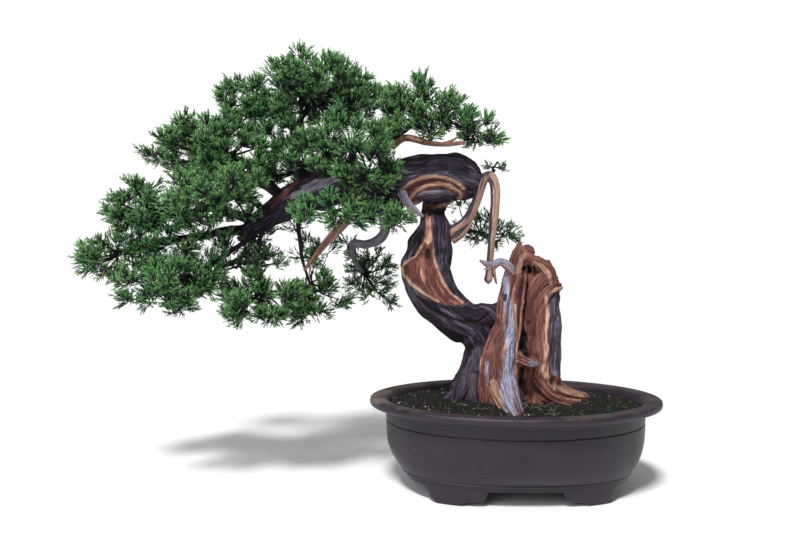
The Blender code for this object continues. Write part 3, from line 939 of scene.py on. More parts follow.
@dataclass
class PotBody:
    """The oval pot: its wall lofted through ovals, its rolled lip, four bracket feet and two drain holes."""

    stand: Stand
    length: float = 0.5
    depth: float = 0.385
    height: float = 0.154
    squareness: float = 14.0
    segments: int = 240
    foot_height: float = 0.023
    foot_inset: float = 0.064
    foot_thickness: float = 0.0215
    foot_angle: float = 52.0
    foot_sweep: float = 37.0
    drain_radius: float = 0.014
    drain_offset: float = 0.105

    def oval(self, inset: Array | float, angle: Array | float) -> Array:
        """Points of the pot's plan moved in along its normal. It is an oval that squares up towards the base.

        Args:
            inset: How far in from the rim's edge.
            angle: Where around the pot.

        Returns:
            Points of (x, y).
        """
        inset, angle = np.broadcast_arrays(np.asarray(inset, float), np.asarray(angle, float))
        power = (2 + self.squareness * np.maximum(0.0, inset - 0.03))[..., None]
        heading = np.stack([np.cos(angle), np.sin(angle)], axis=-1)
        half = np.array([self.length, self.depth]) / 2
        across = heading / half
        reach = (np.abs(across) ** power).sum(-1, keepdims=True) ** (-1 / power)
        slope = np.copysign(np.abs(across * reach) ** (power - 1), across) / half
        return heading * reach - unit(slope) * inset[..., None]

    def profile(self) -> Array:
        """The wall's outline from under the base, over the lip and down to the middle of the floor."""
        rows = [
            (0.064, 0.023, 0.0), (0.064, 0.023, 0.5), (0.064, 0.023, 1), (0.0616, 0.029, 1),
            (0.0608, 0.033, 1), (0.0604, 0.0338, 1), (0.056, 0.0342, 1), (0.0546, 0.0352, 1),
            (0.0546, 0.0368, 1),
            (0.0556, 0.0378, 1), (0.046, 0.047, 1), (0.037, 0.06, 1),
            (0.031, 0.076, 1), (0.0288, 0.094, 1), (0.0282, 0.1125, 1), (0.0284, 0.1144, 1),
            (0.0296, 0.115, 1),
            (0.0296, 0.116, 1), (0.0284, 0.1166, 1), (0.0281, 0.1185, 1), (0.028, 0.134, 1),
            (0.0262, 0.1372, 1), (0.022, 0.1394, 1), (0.008, 0.1408, 1), (0.002, 0.1422, 1), (0.0, 0.1455, 1),
            (0.0, 0.1505, 1), (0.0016, 0.1534, 1), (0.005, 0.154, 1), (0.022, 0.1538, 1), (0.0268, 0.1526, 1),
            (0.034, 0.145, 1), (0.0395, 0.132, 1), (0.0398, 0.094, 1), (0.047, 0.064, 1), (0.061, 0.047, 1),
            (0.081, 0.035, 1), (0.081, 0.035, 0.5), (0.081, 0.035, 0.0),
        ]
        line = np.array(rows, float)
        for _ in range(2):
            cut = np.empty((2 * len(line) - 2, 3))
            cut[0::2] = 0.75 * line[:-1] + 0.25 * line[1:]
            cut[1::2] = 0.25 * line[:-1] + 0.75 * line[1:]
            line = np.vstack([line[:1], cut, line[-1:]])
        return line

    def add_wall(self, shape: Shape) -> None:
        """Lofts the wall and floor into a shape."""
        line = self.profile()
        turn = np.arange(self.segments) * 2 * math.pi / self.segments
        plan = self.oval(line[:, :1], turn[None, :]) * line[:, 2][:, None, None]
        level = np.broadcast_to(line[:, 1][:, None, None], (*plan.shape[:2], 1))
        points = np.concatenate([plan, level], axis=2).reshape(-1, 3)
        hand = grain_noise(points * 9, 3) * 0.0005 + grain_noise(points * (30, 30, 55), 4) * 0.0002
        points[:, :2] += unit(points[:, :2]) * hand[:, None] * (points[:, 2:3] > 0.024)
        rings = len(line)
        wall = np.stack([np.tile(turn, rings) * 0.22, points[:, 2], points[:, 2] * 0], axis=1)
        # The dust layer on the rim's top, stronger towards the left and back, is partly real dust and partly
        # a painted highlight.
        up = ease(points[:, 2], 0.149, 0.1538)
        dust = up * (0.25 + 0.75 * ease(points[:, 0] * -1 + points[:, 1] * 0.6, 0.02, 0.22))
        shape.add(points, ring_quads(rings, self.segments), wall=wall, dust=dust)

    def add_foot(self, shape: Shape, middle: float, towards: int) -> None:
        """Adds one bracket foot that follows the base.

        Args:
            shape: The shape that takes it.
            middle: Where around the pot its middle stands.
            towards: 1 or -1, the way round to its inner end.
        """
        underside = ((0, 0.95), (0.03, 0.72), (0.07, 0.55), (0.11, 0.32), (0.15, 0.2), (0.19, 0.05),
                     (0.22, 0.0),
                     (0.3, 0), (0.45, 0), (0.6, 0), (0.64, 0.06), (0.68, 0.2), (0.72, 0.26), (0.8, 0.27),
                     (0.9, 0.31), (0.95, 0.45), (0.98, 0.68), (1, 0.9))
        share, lift = np.array(underside).T
        angle = middle + towards * math.radians(self.foot_sweep) * (share - 0.5)
        low, high = lift * self.foot_height, self.foot_height + 0.006
        corners = (
            (self.foot_inset + 0.0042, low), (self.foot_inset + 0.0028, low + 0.0012),
            (self.foot_inset - 0.0004, low * 0.3 + high * 0.7), (self.foot_inset - 0.002, low * 0 + high),
            (self.foot_inset + self.foot_thickness, low * 0 + high),
            (self.foot_inset + self.foot_thickness, low),
        )
        sides = len(corners)
        points = np.empty((len(share), sides, 3))
        for number, (inset, level) in enumerate(corners):
            points[:, number, :2] = self.oval(inset, angle)
            points[:, number, 2] = np.minimum(level, high)
        quads = ring_quads(len(share), sides)
        if towards > 0:
            quads = quads[:, ::-1]
        flat = points.reshape(-1, 3)
        shape.add(flat, quads, wall=flat * 1.0, dust=flat[:, 0] * 0)

    def drill(self, piece: bpy.types.Object) -> None:
        """Cuts the two drain holes through the floor."""
        for side in (-1, 1):
            bpy.ops.mesh.primitive_cylinder_add(vertices=48, radius=self.drain_radius, depth=0.06)
            drill = bpy.context.object
            drill.location = self.stand.offset + np.array([side * self.drain_offset, 0, 0.03])
            drill.rotation_euler.z = 0.12
            bpy.context.view_layer.update()
            hole = piece.modifiers.new("drain", "BOOLEAN")
            hole.operation = "DIFFERENCE"
            hole.object = drill
            graph = bpy.context.evaluated_depsgraph_get()
            mesh = bpy.data.meshes.new_from_object(piece.evaluated_get(graph))
            piece.modifiers.clear()
            piece.data = mesh
            bpy.data.objects.remove(drill)

    def build(self) -> None:
        """Builds and dresses the pot."""
        shape = Shape("wall", "dust")
        self.add_wall(shape)
        for side in (0, math.pi):
            for sign in (1, -1):
                self.add_foot(shape, side + sign * math.radians(self.foot_angle), sign)
        piece = shape.make("pot_body", self.stand.offset)
        self.drill(piece)
        piece.data.set_sharp_from_angle(angle=math.radians(38))
        self.stand.hand_over(piece, ClayFinish().make(), Slot.CLAY, "pot")


@dataclass
class Ground:
    """What shows inside the rim: the mounded soil with its moss, grit, sprouts and dry strands."""

    stand: Stand
    pot: PotBody
    edge_inset: float = 0.036
    edge_level: float = 0.1438
    half_length: float = 0.21
    half_depth: float = 0.153
    mound: float = 0.0105
    thickness: float = 0.0065
    around: int = 300
    across: int = 96
    stones: int = 1100
    tufts: int = 900
    strands: int = 36

    def spread(self, plan: Array) -> Array:
        """How far out points lie, squared: 0 in the middle and 1 near the rim."""
        return (plan[:, 0] / self.half_length) ** 2 + (plan[:, 1] / self.half_depth) ** 2

    def level(self, plan: Array) -> Array:
        """The ground's height.

        Args:
            plan: Points of (x, y).

        Returns:
            The height at each.
        """
        share = np.sqrt(self.spread(plan))
        flat = np.column_stack([plan, plan[:, 0] * 0])
        bumps = 0.0022 * grain_noise(flat * 38, 1) + 0.0012 * grain_noise(flat * 110, 2)
        crumbs = 0.0008 * grain_noise(flat * 330, 3)
        slope = -0.009 * plan[:, 0] - 0.006 * plan[:, 1]
        return self.edge_level + slope + self.mound * (1 - np.minimum(share, 1) ** 2) + bumps + crumbs

    def scatter(self, count: int, rng: np.random.Generator, reach: float = 0.97) -> Array:
        """Places spread over the ground.

        Args:
            count: How many.
            rng: The source of chance.
            reach: How near the edge they come.

        Returns:
            Points on the ground, (count, 3).
        """
        turn = rng.uniform(0, 2 * math.pi, count)
        share = np.sqrt(rng.uniform(0, 1, count)) * reach
        plan = self.pot.oval(self.edge_inset, turn) * share[:, None]
        return np.column_stack([plan, self.level(plan)])

    def build_surface(self) -> None:
        """Builds the crumbly surface and the short skirt below it."""
        turn = np.arange(self.around) * 2 * math.pi / self.around
        rim = self.pot.oval(self.edge_inset, turn)
        share = np.linspace(1, 0.004, self.across)
        plan = (rim[None] * share[:, None, None]).reshape(-1, 2)
        top = np.column_stack([plan, self.level(plan)])
        skirt = np.column_stack([rim, np.full(self.around, self.edge_level - self.thickness)])
        points = np.vstack([skirt, top])
        shape = Shape()
        shape.add(points, ring_quads(self.across + 1, self.around))
        piece = shape.make("ground", self.stand.offset)
        self.stand.hand_over(piece, GroundFinish().make("soil_and_moss"), Slot.MOSS, "moss_carpet")

    def build_grit(self) -> None:
        """Builds the loose grit, thicker along the left edge."""
        rng = np.random.default_rng(11)
        bpy.ops.mesh.primitive_ico_sphere_add(subdivisions=1, radius=1)
        ball = bpy.context.object
        base = np.array([v.co[:] for v in ball.data.vertices])
        tris = np.array([p.vertices[:] for p in ball.data.polygons])
        bpy.data.objects.remove(ball)
        at = self.scatter(self.stones, rng)
        edge = self.scatter(self.stones, rng, 0.99)
        rim = (self.spread(edge) > 0.72) & (edge[:, 0] < 0.02)
        at = np.vstack([at, edge[rim]])
        size = rng.uniform(0.0006, 0.0018, (len(at), 1, 1)) * rng.uniform(0.6, 1.2, (len(at), 1, 3))
        shift = rng.uniform(0.75, 1.25, (len(at), len(base), 1))
        points = at[:, None] + base[None] * size * shift
        faces = tris[None] + (np.arange(len(at)) * len(base))[:, None, None]
        near_edge = (np.arange(len(at)) >= self.stones) * 0.32
        hue = np.clip(rng.uniform(0, 0.66, len(at)) + near_edge * rng.uniform(0.2, 1.4, len(at)), 0, 1)
        shape = Shape("hue")
        shape.add(points.reshape(-1, 3), tris=faces.reshape(-1, 3), hue=np.repeat(hue, len(base)))
        piece = shape.make("grit", self.stand.offset)
        self.stand.hand_over(piece, StoneFinish().make(), Slot.SOIL)

    def build_moss(self) -> None:
        """Builds the little cushions of moss, and a few brighter sprouts."""
        rng = np.random.default_rng(12)
        shape = Shape("rise", "hue", "woody")
        for number, at in enumerate(self.scatter(self.tufts, rng)):
            sprout = number % 60 == 0
            blades = 9 if sprout else 12
            tall, wide = (0.009, 0.0011) if sprout else (rng.uniform(0.0018, 0.0038), 0.0006)
            foot = at + np.column_stack([rng.normal(0, 0.0022 if not sprout else 0.0007, (blades, 2)),
                                         np.zeros(blades)])
            lean = unit(np.column_stack([rng.normal(0, 0.5, (blades, 2)), np.ones(blades)]))
            across = unit(np.cross(lean, rng.normal(0, 1, (blades, 3))))
            deep = np.cross(lean, across)
            head = foot + lean * tall * rng.uniform(0.6, 1.1, (blades, 1))
            rows = np.stack([foot - across * wide, foot + across * wide, foot + deep * wide, head], axis=1)
            faces = np.array([(0, 1, 3), (1, 2, 3), (2, 0, 3)])[None] + (np.arange(blades) * 4)[:, None, None]
            rise = np.tile([0.15, 0.15, 0.15, 0.95 if sprout else 0.6], blades)
            shape.add(rows.reshape(-1, 3), tris=faces.reshape(-1, 3), rise=rise,
                      hue=np.full(blades * 4, rng.uniform(0, 0.6)), woody=np.zeros(blades * 4))
        finish = PlantFinish("moss_growth", (0.003, 0.005, 0.003), (0.013, 0.021, 0.008),
                             (0.045, 0.15, 0.035),
                             (0.8, 1.0, 0.6))
        self.stand.hand_over(shape.make("moss_tufts", self.stand.offset), finish.make(), Slot.MOSS)

    def build_strands(self) -> None:
        """Builds the dry strands and rootlets that lie about the foot of the tree."""
        rng = np.random.default_rng(13)
        shape = Shape("grain", "silver", "pale", "rust", "relief", "painted_shade_and_dark_bark", "barked")
        for number in range(self.strands):
            start = np.array([rng.normal(0.005, 0.05), min(-0.06, max(-0.13, rng.normal(-0.095, 0.025)))])
            heading = rng.uniform(0, 2 * math.pi)
            bend = rng.normal(0, 0.9)
            rows = []
            length = rng.uniform(0.01, 0.03)
            for share in np.linspace(0, 1, 7):
                turn = heading + bend * share
                start = start + np.array([math.cos(turn), math.sin(turn) * 0.8]) * length / 7
                low = self.level(start[None])[0]
                rows.append((*start, low + 0.0008 + 0.003 * math.sin(math.pi * share) * rng.uniform(0.4, 1),
                             0.00032))
            add_tube(shape, np.array(rows), 5, silver=0.5 * (number % 2), pale=0.7)
        self.stand.hand_over(shape.make("dry_strands", self.stand.offset), DeadFinish("dry_strands").make(),
                             Slot.DEAD)

    def build(self) -> None:
        """Builds everything inside the rim."""
        self.build_surface()
        self.build_grit()
        self.build_moss()
        self.build_strands()


@dataclass
class LiveTrunk:
    """The living stem, its swollen head and the long limb, with bark and the bare shari down its front."""

    stand: Stand
    voxel: float = 0.0019
    routes: tuple[Route, ...] = (
        ((-0.081, 0.0, 0.121, 0.038), (-0.079, 0.0, 0.156, 0.032), (-0.067, -0.005, 0.2, 0.027),
         (-0.057, -0.008, 0.24, 0.03), (-0.07, -0.008, 0.27, 0.033), (-0.099, -0.008, 0.29, 0.035),
         (-0.133, -0.005, 0.323, 0.039), (-0.153, 0.0, 0.369, 0.043), (-0.147, 0.0, 0.413, 0.037),
         (-0.14, 0.0, 0.445, 0.029), (-0.143, 0.003, 0.47, 0.019)),
        ((-0.141, 0.002, 0.46, 0.02), (-0.137, 0.014, 0.488, 0.021), (-0.121, 0.024, 0.508, 0.026),
         (-0.105, 0.024, 0.522, 0.03)),
        ((-0.077, 0.022, 0.526, 0.026), (-0.089, 0.008, 0.53, 0.036), (-0.119, -0.01, 0.536, 0.04),
         (-0.159, -0.016, 0.532, 0.04), (-0.199, -0.01, 0.523, 0.038), (-0.237, 0.0, 0.515, 0.034),
         (-0.286, 0.01, 0.519, 0.033), (-0.339, 0.01, 0.512, 0.032), (-0.381, 0.0, 0.494, 0.027),
         (-0.425, 0.0, 0.468, 0.021), (-0.461, 0.0, 0.444, 0.014)),
        ((-0.081, 0.0, 0.168, 0.022), (-0.1, -0.012, 0.156, 0.014), (-0.12, -0.022, 0.146, 0.009),
         (-0.134, -0.028, 0.138, 0.006)),
        ((-0.077, 0.0, 0.17, 0.018), (-0.063, 0.04, 0.158, 0.011), (-0.045, 0.072, 0.146, 0.006),
         (-0.037, 0.086, 0.135, 0.004)),
        ((-0.12, 0.0, 0.306, 0.022), (-0.098, -0.01, 0.296, 0.028), (-0.074, -0.018, 0.291, 0.027),
         (-0.052, -0.02, 0.295, 0.022),
         (-0.036, -0.022, 0.303, 0.014), (-0.026, -0.022, 0.312, 0.008)),
        ((-0.19, -0.022, 0.38, 0.008), (-0.18, -0.028, 0.392, 0.012), (-0.165, -0.03, 0.405, 0.012)),
        ((-0.09, -0.02, 0.18, 0.013), (-0.1, -0.03, 0.158, 0.009), (-0.104, -0.036, 0.145, 0.006)),
        ((-0.07, -0.024, 0.19, 0.012), (-0.072, -0.036, 0.162, 0.008), (-0.07, -0.044, 0.146, 0.006)),
    )
    swells: tuple[int, ...] = (5, 6)
    shari: Line = ((-0.154, 0.478), (-0.156, 0.445), (-0.163, 0.416), (-0.173, 0.397), (-0.19, 0.389),
                   (-0.197, 0.378), (-0.194, 0.364), (-0.182, 0.349), (-0.161, 0.333), (-0.14, 0.322),
                   (-0.12, 0.314), (-0.096, 0.314), (-0.081, 0.317), (-0.094, 0.322), (-0.111, 0.334),
                   (-0.124, 0.354), (-0.133, 0.374), (-0.14, 0.397), (-0.143, 0.421), (-0.142, 0.445),
                   (-0.144, 0.478))
    mouth: Line = ((-0.2, 0.506), (-0.184, 0.521), (-0.163, 0.531), (-0.14, 0.534), (-0.119, 0.531),
                   (-0.102, 0.524), (-0.087, 0.513), (-0.088, 0.5), (-0.103, 0.486), (-0.13, 0.478),
                   (-0.156, 0.479), (-0.18, 0.489))
    core: Line = ((-0.176, 0.496), (-0.16, 0.509), (-0.137, 0.513), (-0.114, 0.51), (-0.098, 0.499),
                  (-0.108, 0.489), (-0.137, 0.484), (-0.162, 0.486))
    strokes: tuple[Stroke, ...] = (
        Stroke("pale", ((-0.199, 0.509), (-0.182, 0.521), (-0.162, 0.53), (-0.14, 0.533), (-0.12, 0.53),
                        (-0.103, 0.523), (-0.09, 0.513)), (0.0016, 0.0035, 0.0042, 0.0035, 0.003)),
        Stroke("pale", ((-0.181, 0.494), (-0.172, 0.505), (-0.155, 0.515), (-0.137, 0.519), (-0.115, 0.517),
                        (-0.097, 0.507), (-0.092, 0.496)), (0.0022, 0.003, 0.003, 0.0026)),
        Stroke("rust", ((-0.19, 0.503), (-0.172, 0.516), (-0.14, 0.525), (-0.112, 0.522), (-0.094, 0.508)),
               (0.003, 0.0038, 0.003)),
        Stroke("pale", ((-0.152, 0.47), (-0.15, 0.445), (-0.15, 0.425)), (0.004, 0.005, 0.006), 0.8),
        Stroke("pale", ((-0.163, 0.414), (-0.173, 0.396), (-0.19, 0.388), (-0.197, 0.378), (-0.194, 0.364),
                        (-0.182, 0.349), (-0.161, 0.333), (-0.136, 0.32)), (0.0026, 0.004, 0.0046, 0.0034)),
        Stroke("pale", ((-0.141, 0.43), (-0.14, 0.397), (-0.133, 0.374), (-0.124, 0.354), (-0.111, 0.334),
                        (-0.094, 0.321)), (0.0022, 0.0034, 0.003), 0.85),
        # Painted shade in the knot hole.
        Stroke("painted_shade_and_dark_bark", ((-0.153, 0.404), (-0.153, 0.398)), (0.0052,), 0.9, -0.004),
        Stroke("rust", ((-0.152, 0.392), (-0.147, 0.372), (-0.13, 0.342), (-0.112, 0.322)),
               (0.01, 0.012, 0.005),
               0.45),
        # Painted shade in the deep groove below the shari.
        Stroke("painted_shade_and_dark_bark", ((-0.17, 0.329), (-0.148, 0.309), (-0.12, 0.295), (-0.094, 0.287), (-0.069, 0.287),
                       (-0.047, 0.301)), (0.0016, 0.003, 0.0026, 0.0016), 0.85, -0.0026),
        # Painted shade over the trunk's underside below the shari.
        Stroke("painted_shade_and_dark_bark", ((-0.172, 0.312), (-0.138, 0.28), (-0.104, 0.262), (-0.08, 0.24)),
               (0.008, 0.014, 0.012, 0.006), 0.55),
        # Painted shade in a fine groove.
        Stroke("painted_shade_and_dark_bark", ((-0.11, 0.303), (-0.08, 0.303), (-0.056, 0.308)), (0.0014, 0.003, 0.0016), 0.7,
               -0.0012),
        # Grey painted highlights at the trunk's base and along the top of the limb.
        Stroke("worn", ((-0.062, 0.235), (-0.076, 0.195), (-0.086, 0.165)), (0.012, 0.016, 0.012), 0.2),
        Stroke("worn", ((-0.3, 0.53), (-0.34, 0.52), (-0.38, 0.5)), (0.004, 0.009, 0.005), 0.6),
        Stroke("pale", ((-0.158, 0.487), (-0.134, 0.482), (-0.11, 0.488), (-0.099, 0.497)),
               (0.0016, 0.0026, 0.002), 0.7),
        Stroke("rust", ((-0.15, 0.41), (-0.16, 0.398), (-0.153, 0.391), (-0.146, 0.4), (-0.15, 0.41)),
               (0.003,), 0.8, 0.0012),
        # Painted shade in the groove under the head's wound.
        Stroke("painted_shade_and_dark_bark", ((-0.18, 0.481), (-0.15, 0.474), (-0.12, 0.476), (-0.1, 0.485)), (0.004, 0.0055, 0.004),
               0.85, -0.003),
        Stroke("bare", ((-0.428, 0.474), (-0.402, 0.498), (-0.376, 0.524)), (0.003, 0.006, 0.003), 0.9),
        Stroke("rust", ((-0.428, 0.474), (-0.402, 0.498), (-0.376, 0.524)), (0.003, 0.005, 0.003), 0.6),
    )

    def shape_bark(self, wood: FusedWood) -> None:
        """Raises the bark in long strands."""
        turn = wood.turns()
        broad = ridges(turn * (2.2, 2.2, 9.0), 1) - 0.45
        fine = ridges(turn * (5.5, 5.5, 16.0), 2) - 0.45
        lumps = grain_noise(wood.points * 28, 3)
        wood.press(0.0026 * broad + 0.0014 * fine + 0.0018 * lumps)

    def shape_head(self, wood: FusedWood) -> None:
        """Opens the healed wound in the head's front and leaves its weathered core standing."""
        front = wood.front()
        at = wood.flat()
        depth = inside(at, self.mouth)
        heart = inside(at, self.core)
        wood.push_back(front * (0.0085 * ease(depth, 0.0, 0.006) - 0.0105 * ease(heart, -0.002, 0.009)))
        wood.press(front * 0.0022 * ease(np.abs(depth + 0.003), 0.004, 0.001))

    def layers(self, wood: FusedWood) -> dict[str, Array]:
        """Paints the bark's layers, and presses the shari and the strokes into the wood.

        Args:
            wood: The body, which this shapes further.

        Returns:
            A value for each point, by layer.
        """
        front = wood.front()
        at = wood.frayed(0.0012)
        strip = inside(at, self.shari)
        mouth = inside(at, self.mouth)
        core = ease(inside(at, self.core), -0.001, 0.003)
        stem = wood.owner != 2
        bare = front * np.maximum(ease(strip, -0.0008, 0.001) * stem,
                                  ease(mouth, -0.0008, 0.001) * (1 - core))
        wood.press(front * stem
                   * (0.0015 * ease(np.abs(strip + 0.003), 0.0035, 0.001) - 0.004 * ease(strip, 0, 0.008)))
        found = {name: np.zeros(len(at)) for name in ("pale", "rust", "silver", "painted_shade_and_dark_bark", "bare", "worn")}
        for stroke in self.strokes:
            cover = stroke.cover(at) * front * stroke.strength
            if stroke.raise_by:
                wood.press(cover * stroke.raise_by)
            found[stroke.layer] = np.maximum(found[stroke.layer], cover)
        # A grey painted highlight on the top of the weathered core, and a little grey wear spread at random.
        found["worn"] = np.clip(found["worn"] + core * front * 0.75 * ease(at[:, 1], 0.49, 0.512) + 0.25
                                * ease(
            grain_noise(wood.grain * (60, 60, 60), 12), 0.2, 0.8), 0, 1)
        found["bare"] = np.maximum(found["bare"], bare)
        return found

    def build(self) -> None:
        """Builds and dresses the trunk."""
        wood = FusedWood(self.routes, self.voxel, self.swells)
        wood.grow()
        self.shape_head(wood)
        self.shape_bark(wood)
        layers = self.layers(wood)
        shape = Shape("grain", "relief", "bare", "pale", "rust", "silver", "worn", "painted_shade_and_dark_bark")
        shape.add(wood.points, wood.faces, grain=wood.grain, relief=wood.relief, **layers)
        piece = shape.make("trunk_and_limb", self.stand.offset)
        self.stand.hand_over(piece, BarkFinish("trunk_bark").make(), Slot.BARK, "live_trunk")


@dataclass
class DeadStump:
    """The old stump of bare wood, in columns with a cleft, a curled top and spreading feet."""

    stand: Stand
    voxel: float = 0.0016
    routes: tuple[Route, ...] = (
        ((-0.03, -0.05, 0.12, 0.031), (-0.032, -0.046, 0.181, 0.034), (-0.03, -0.042, 0.239, 0.03),
         (-0.016, -0.04, 0.275, 0.023), (-0.014, -0.04, 0.306, 0.021), (-0.005, -0.038, 0.35, 0.019),
         (0.001, -0.037, 0.384, 0.015), (0.008, -0.036, 0.402, 0.009), (0.018, -0.037, 0.409, 0.006),
         (0.026, -0.038, 0.402, 0.003)),
        ((-0.004, -0.044, 0.374, 0.009), (-0.006, -0.048, 0.394, 0.007), (0.001, -0.048, 0.412, 0.005),
         (0.002, -0.046, 0.419, 0.002)),
        ((0.037, -0.01, 0.12, 0.04), (0.04, -0.016, 0.188, 0.034), (0.044, -0.02, 0.248, 0.031),
         (0.045, -0.02, 0.3, 0.029), (0.049, -0.02, 0.335, 0.023), (0.042, -0.024, 0.362, 0.014)),
        ((0.003, 0.0, 0.124, 0.042), (0.005, -0.004, 0.198, 0.038), (0.009, -0.008, 0.268, 0.033),
         (0.015, -0.01, 0.328, 0.027), (0.022, -0.014, 0.366, 0.019), (0.024, -0.018, 0.384, 0.01)),
        ((-0.027, -0.052, 0.204, 0.02), (-0.023, -0.08, 0.168, 0.018), (-0.015, -0.11, 0.148, 0.012),
         (-0.009, -0.124, 0.137, 0.008)),
        ((0.048, -0.016, 0.184, 0.026), (0.07, -0.014, 0.164, 0.018), (0.098, -0.01, 0.154, 0.012),
         (0.124, -0.004, 0.151, 0.007)),
        ((0.056, -0.026, 0.345, 0.016), (0.05, -0.034, 0.37, 0.013), (0.038, -0.04, 0.384, 0.009),
         (0.026, -0.042, 0.39, 0.007), (0.012, -0.04, 0.396, 0.009)),
        ((0.002, -0.048, 0.226, 0.013), (0.01, -0.066, 0.226, 0.012), (0.02, -0.08, 0.222, 0.009)),
        ((0.03, -0.036, 0.268, 0.009), (0.034, -0.04, 0.306, 0.011), (0.044, -0.04, 0.332, 0.012),
         (0.058, -0.034, 0.343, 0.011), (0.072, -0.026, 0.345, 0.007)),
        ((0.021, -0.036, 0.29, 0.008), (0.024, -0.041, 0.328, 0.01), (0.034, -0.043, 0.352, 0.011),
         (0.048, -0.038, 0.36, 0.01), (0.062, -0.03, 0.356, 0.007)),
        ((0.03, -0.038, 0.384, 0.006), (0.033, -0.038, 0.391, 0.003), (0.036, -0.037, 0.396, 0.0015)),
        ((0.044, -0.036, 0.372, 0.009), (0.05, -0.034, 0.382, 0.006), (0.052, -0.033, 0.388, 0.003)),
        ((0.035, -0.04, 0.182, 0.014), (0.052, -0.048, 0.163, 0.011), (0.076, -0.046, 0.153, 0.009),
         (0.104, -0.036, 0.148, 0.006)),
        ((-0.044, -0.058, 0.19, 0.012), (-0.038, -0.078, 0.166, 0.01), (-0.028, -0.098, 0.148, 0.007)),
    )
    strokes: tuple[Stroke, ...] = (
        Stroke("silver", ((-0.021, 0.388), (-0.022, 0.36), (-0.021, 0.333), (-0.018, 0.308), (-0.016, 0.274),
                          (-0.015, 0.249), (-0.02, 0.216), (-0.027, 0.185), (-0.026, 0.16), (-0.018, 0.14)),
               (0.0045, 0.006, 0.0095, 0.011, 0.006)),
        Stroke("silver", ((-0.015, 0.215), (-0.012, 0.185), (-0.006, 0.158), (0.0, 0.14)),
               (0.006, 0.006, 0.004), 0.9),
        Stroke("pale", ((-0.008, 0.316), (-0.006, 0.28), (-0.005, 0.249), (-0.009, 0.216), (-0.012, 0.19)),
               (0.0022, 0.003, 0.0022)),
        Stroke("silver", ((-0.055, 0.222), (-0.056, 0.186)), (0.0022,), 0.8),
        Stroke("pale", ((-0.046, 0.19), (-0.036, 0.16), (-0.026, 0.14)), (0.006, 0.009, 0.008), 0.65),
        Stroke("pale", ((0.045, 0.331), (0.048, 0.299), (0.046, 0.266), (0.045, 0.233), (0.04, 0.204)),
               (0.0026, 0.0032, 0.003)),
        Stroke("pale", ((0.052, 0.334), (0.064, 0.341), (0.077, 0.342)), (0.002, 0.0034, 0.003), 0.8, 0.0008),
        Stroke("pale", ((0.026, 0.386), (0.04, 0.38), (0.051, 0.366), (0.054, 0.352)), (0.003, 0.005, 0.003),
               0.7),
        Stroke("pale", ((0.008, 0.414), (0.006, 0.396), (-0.002, 0.372)), (0.005, 0.007, 0.004), 0.5),
        Stroke("pale", ((0.044, 0.2), (0.06, 0.178), (0.086, 0.166), (0.116, 0.156)), (0.005, 0.005, 0.004),
               0.7),
        Stroke("silver", ((0.015, 0.223), (0.021, 0.221)), (0.005,), 0.9),
        Stroke("rust", ((-0.036, 0.29), (-0.04, 0.25), (-0.048, 0.21), (-0.04, 0.18)),
               (0.006, 0.012, 0.01), 0.6),
        Stroke("rust", ((0.012, 0.35), (0.02, 0.3), (0.022, 0.26), (0.022, 0.235)), (0.004, 0.006, 0.006),
               0.75),
        Stroke("rust", ((0.002, 0.355), (0.0, 0.33)), (0.005,), 0.9),
        # Painted shade, nearly black, in the cleft, the holes and the grooves, which are also cut back.
        Stroke("painted_shade_and_dark_bark", ((0.018, 0.353), (0.013, 0.333), (0.01, 0.308), (0.008, 0.283), (0.007, 0.266)),
               (0.0012, 0.0018, 0.0022, 0.004), 1.0, -0.004, 0.15),
        Stroke("painted_shade_and_dark_bark", ((0.008, 0.276), (0.009, 0.255), (0.009, 0.236)), (0.0035, 0.0065, 0.006), 1.0, -0.01,
               0.15),
        Stroke("painted_shade_and_dark_bark", ((0.01, 0.376), (0.022, 0.374)), (0.0055,), 1.0, -0.006),
        Stroke("painted_shade_and_dark_bark", ((-0.024, 0.331), (-0.024, 0.325)), (0.0032,), 0.9, -0.003),
        Stroke("painted_shade_and_dark_bark", ((0.004, 0.212), (0.004, 0.19), (0.006, 0.165)), (0.005, 0.007, 0.008), 0.75, -0.006),
        Stroke("painted_shade_and_dark_bark", ((-0.018, 0.196), (-0.012, 0.172), (-0.006, 0.15)), (0.0006, 0.0016, 0.002), 0.8,
               -0.002),
    )
    barked: Line = ((0.051, 0.336), (0.07, 0.338), (0.084, 0.33), (0.084, 0.196), (0.06, 0.196),
                    (0.05, 0.208),
                    (0.052, 0.266))

    def build(self) -> None:
        """Builds and dresses the stump."""
        wood = FusedWood(self.routes, self.voxel)
        wood.grow()
        turn = wood.turns()
        flow = turn + 0.1 * np.stack([grain_noise(turn * (1.5, 1.5, 12), k) for k in (4, 5, 6)], axis=1)
        wood.press(0.0042 * (ridges(flow * (2.6, 2.6, 5.0), 1) - 0.45) + 0.002
                   * (ridges(flow * (7, 7, 8), 2) - 0.45))
        at = wood.frayed(0.001)
        front = wood.front()
        layers = {name: np.zeros(len(at)) for name in ("pale", "rust", "silver", "painted_shade_and_dark_bark")}
        for stroke in self.strokes:
            cover = stroke.cover(at) * front * stroke.strength
            if stroke.raise_by < -0.003:
                wood.push_back(-cover * stroke.raise_by)
            elif stroke.raise_by:
                wood.press(cover * stroke.raise_by)
            layers[stroke.layer] = np.maximum(layers[stroke.layer], cover)
        back = ease(wood.points[:, 1], -0.015, 0.004)
        strip = ease(grain_noise(turn * (1.3, 1.3, 4), 21), -0.1, 0.35)
        layers["barked"] = np.maximum(front * ease(inside(at, self.barked), -0.001, 0.002), back * strip)
        layers["silver"] = np.maximum(layers["silver"], back * (1 - strip) * 0.6)
        shape = Shape("grain", "relief", "pale", "rust", "silver", "painted_shade_and_dark_bark", "barked")
        shape.add(wood.points, wood.faces, grain=wood.grain, relief=wood.relief, **layers)
        piece = shape.make("stump", self.stand.offset)
        self.stand.hand_over(piece, DeadFinish("stump_wood").make(), Slot.DEAD, "deadwood_stump")


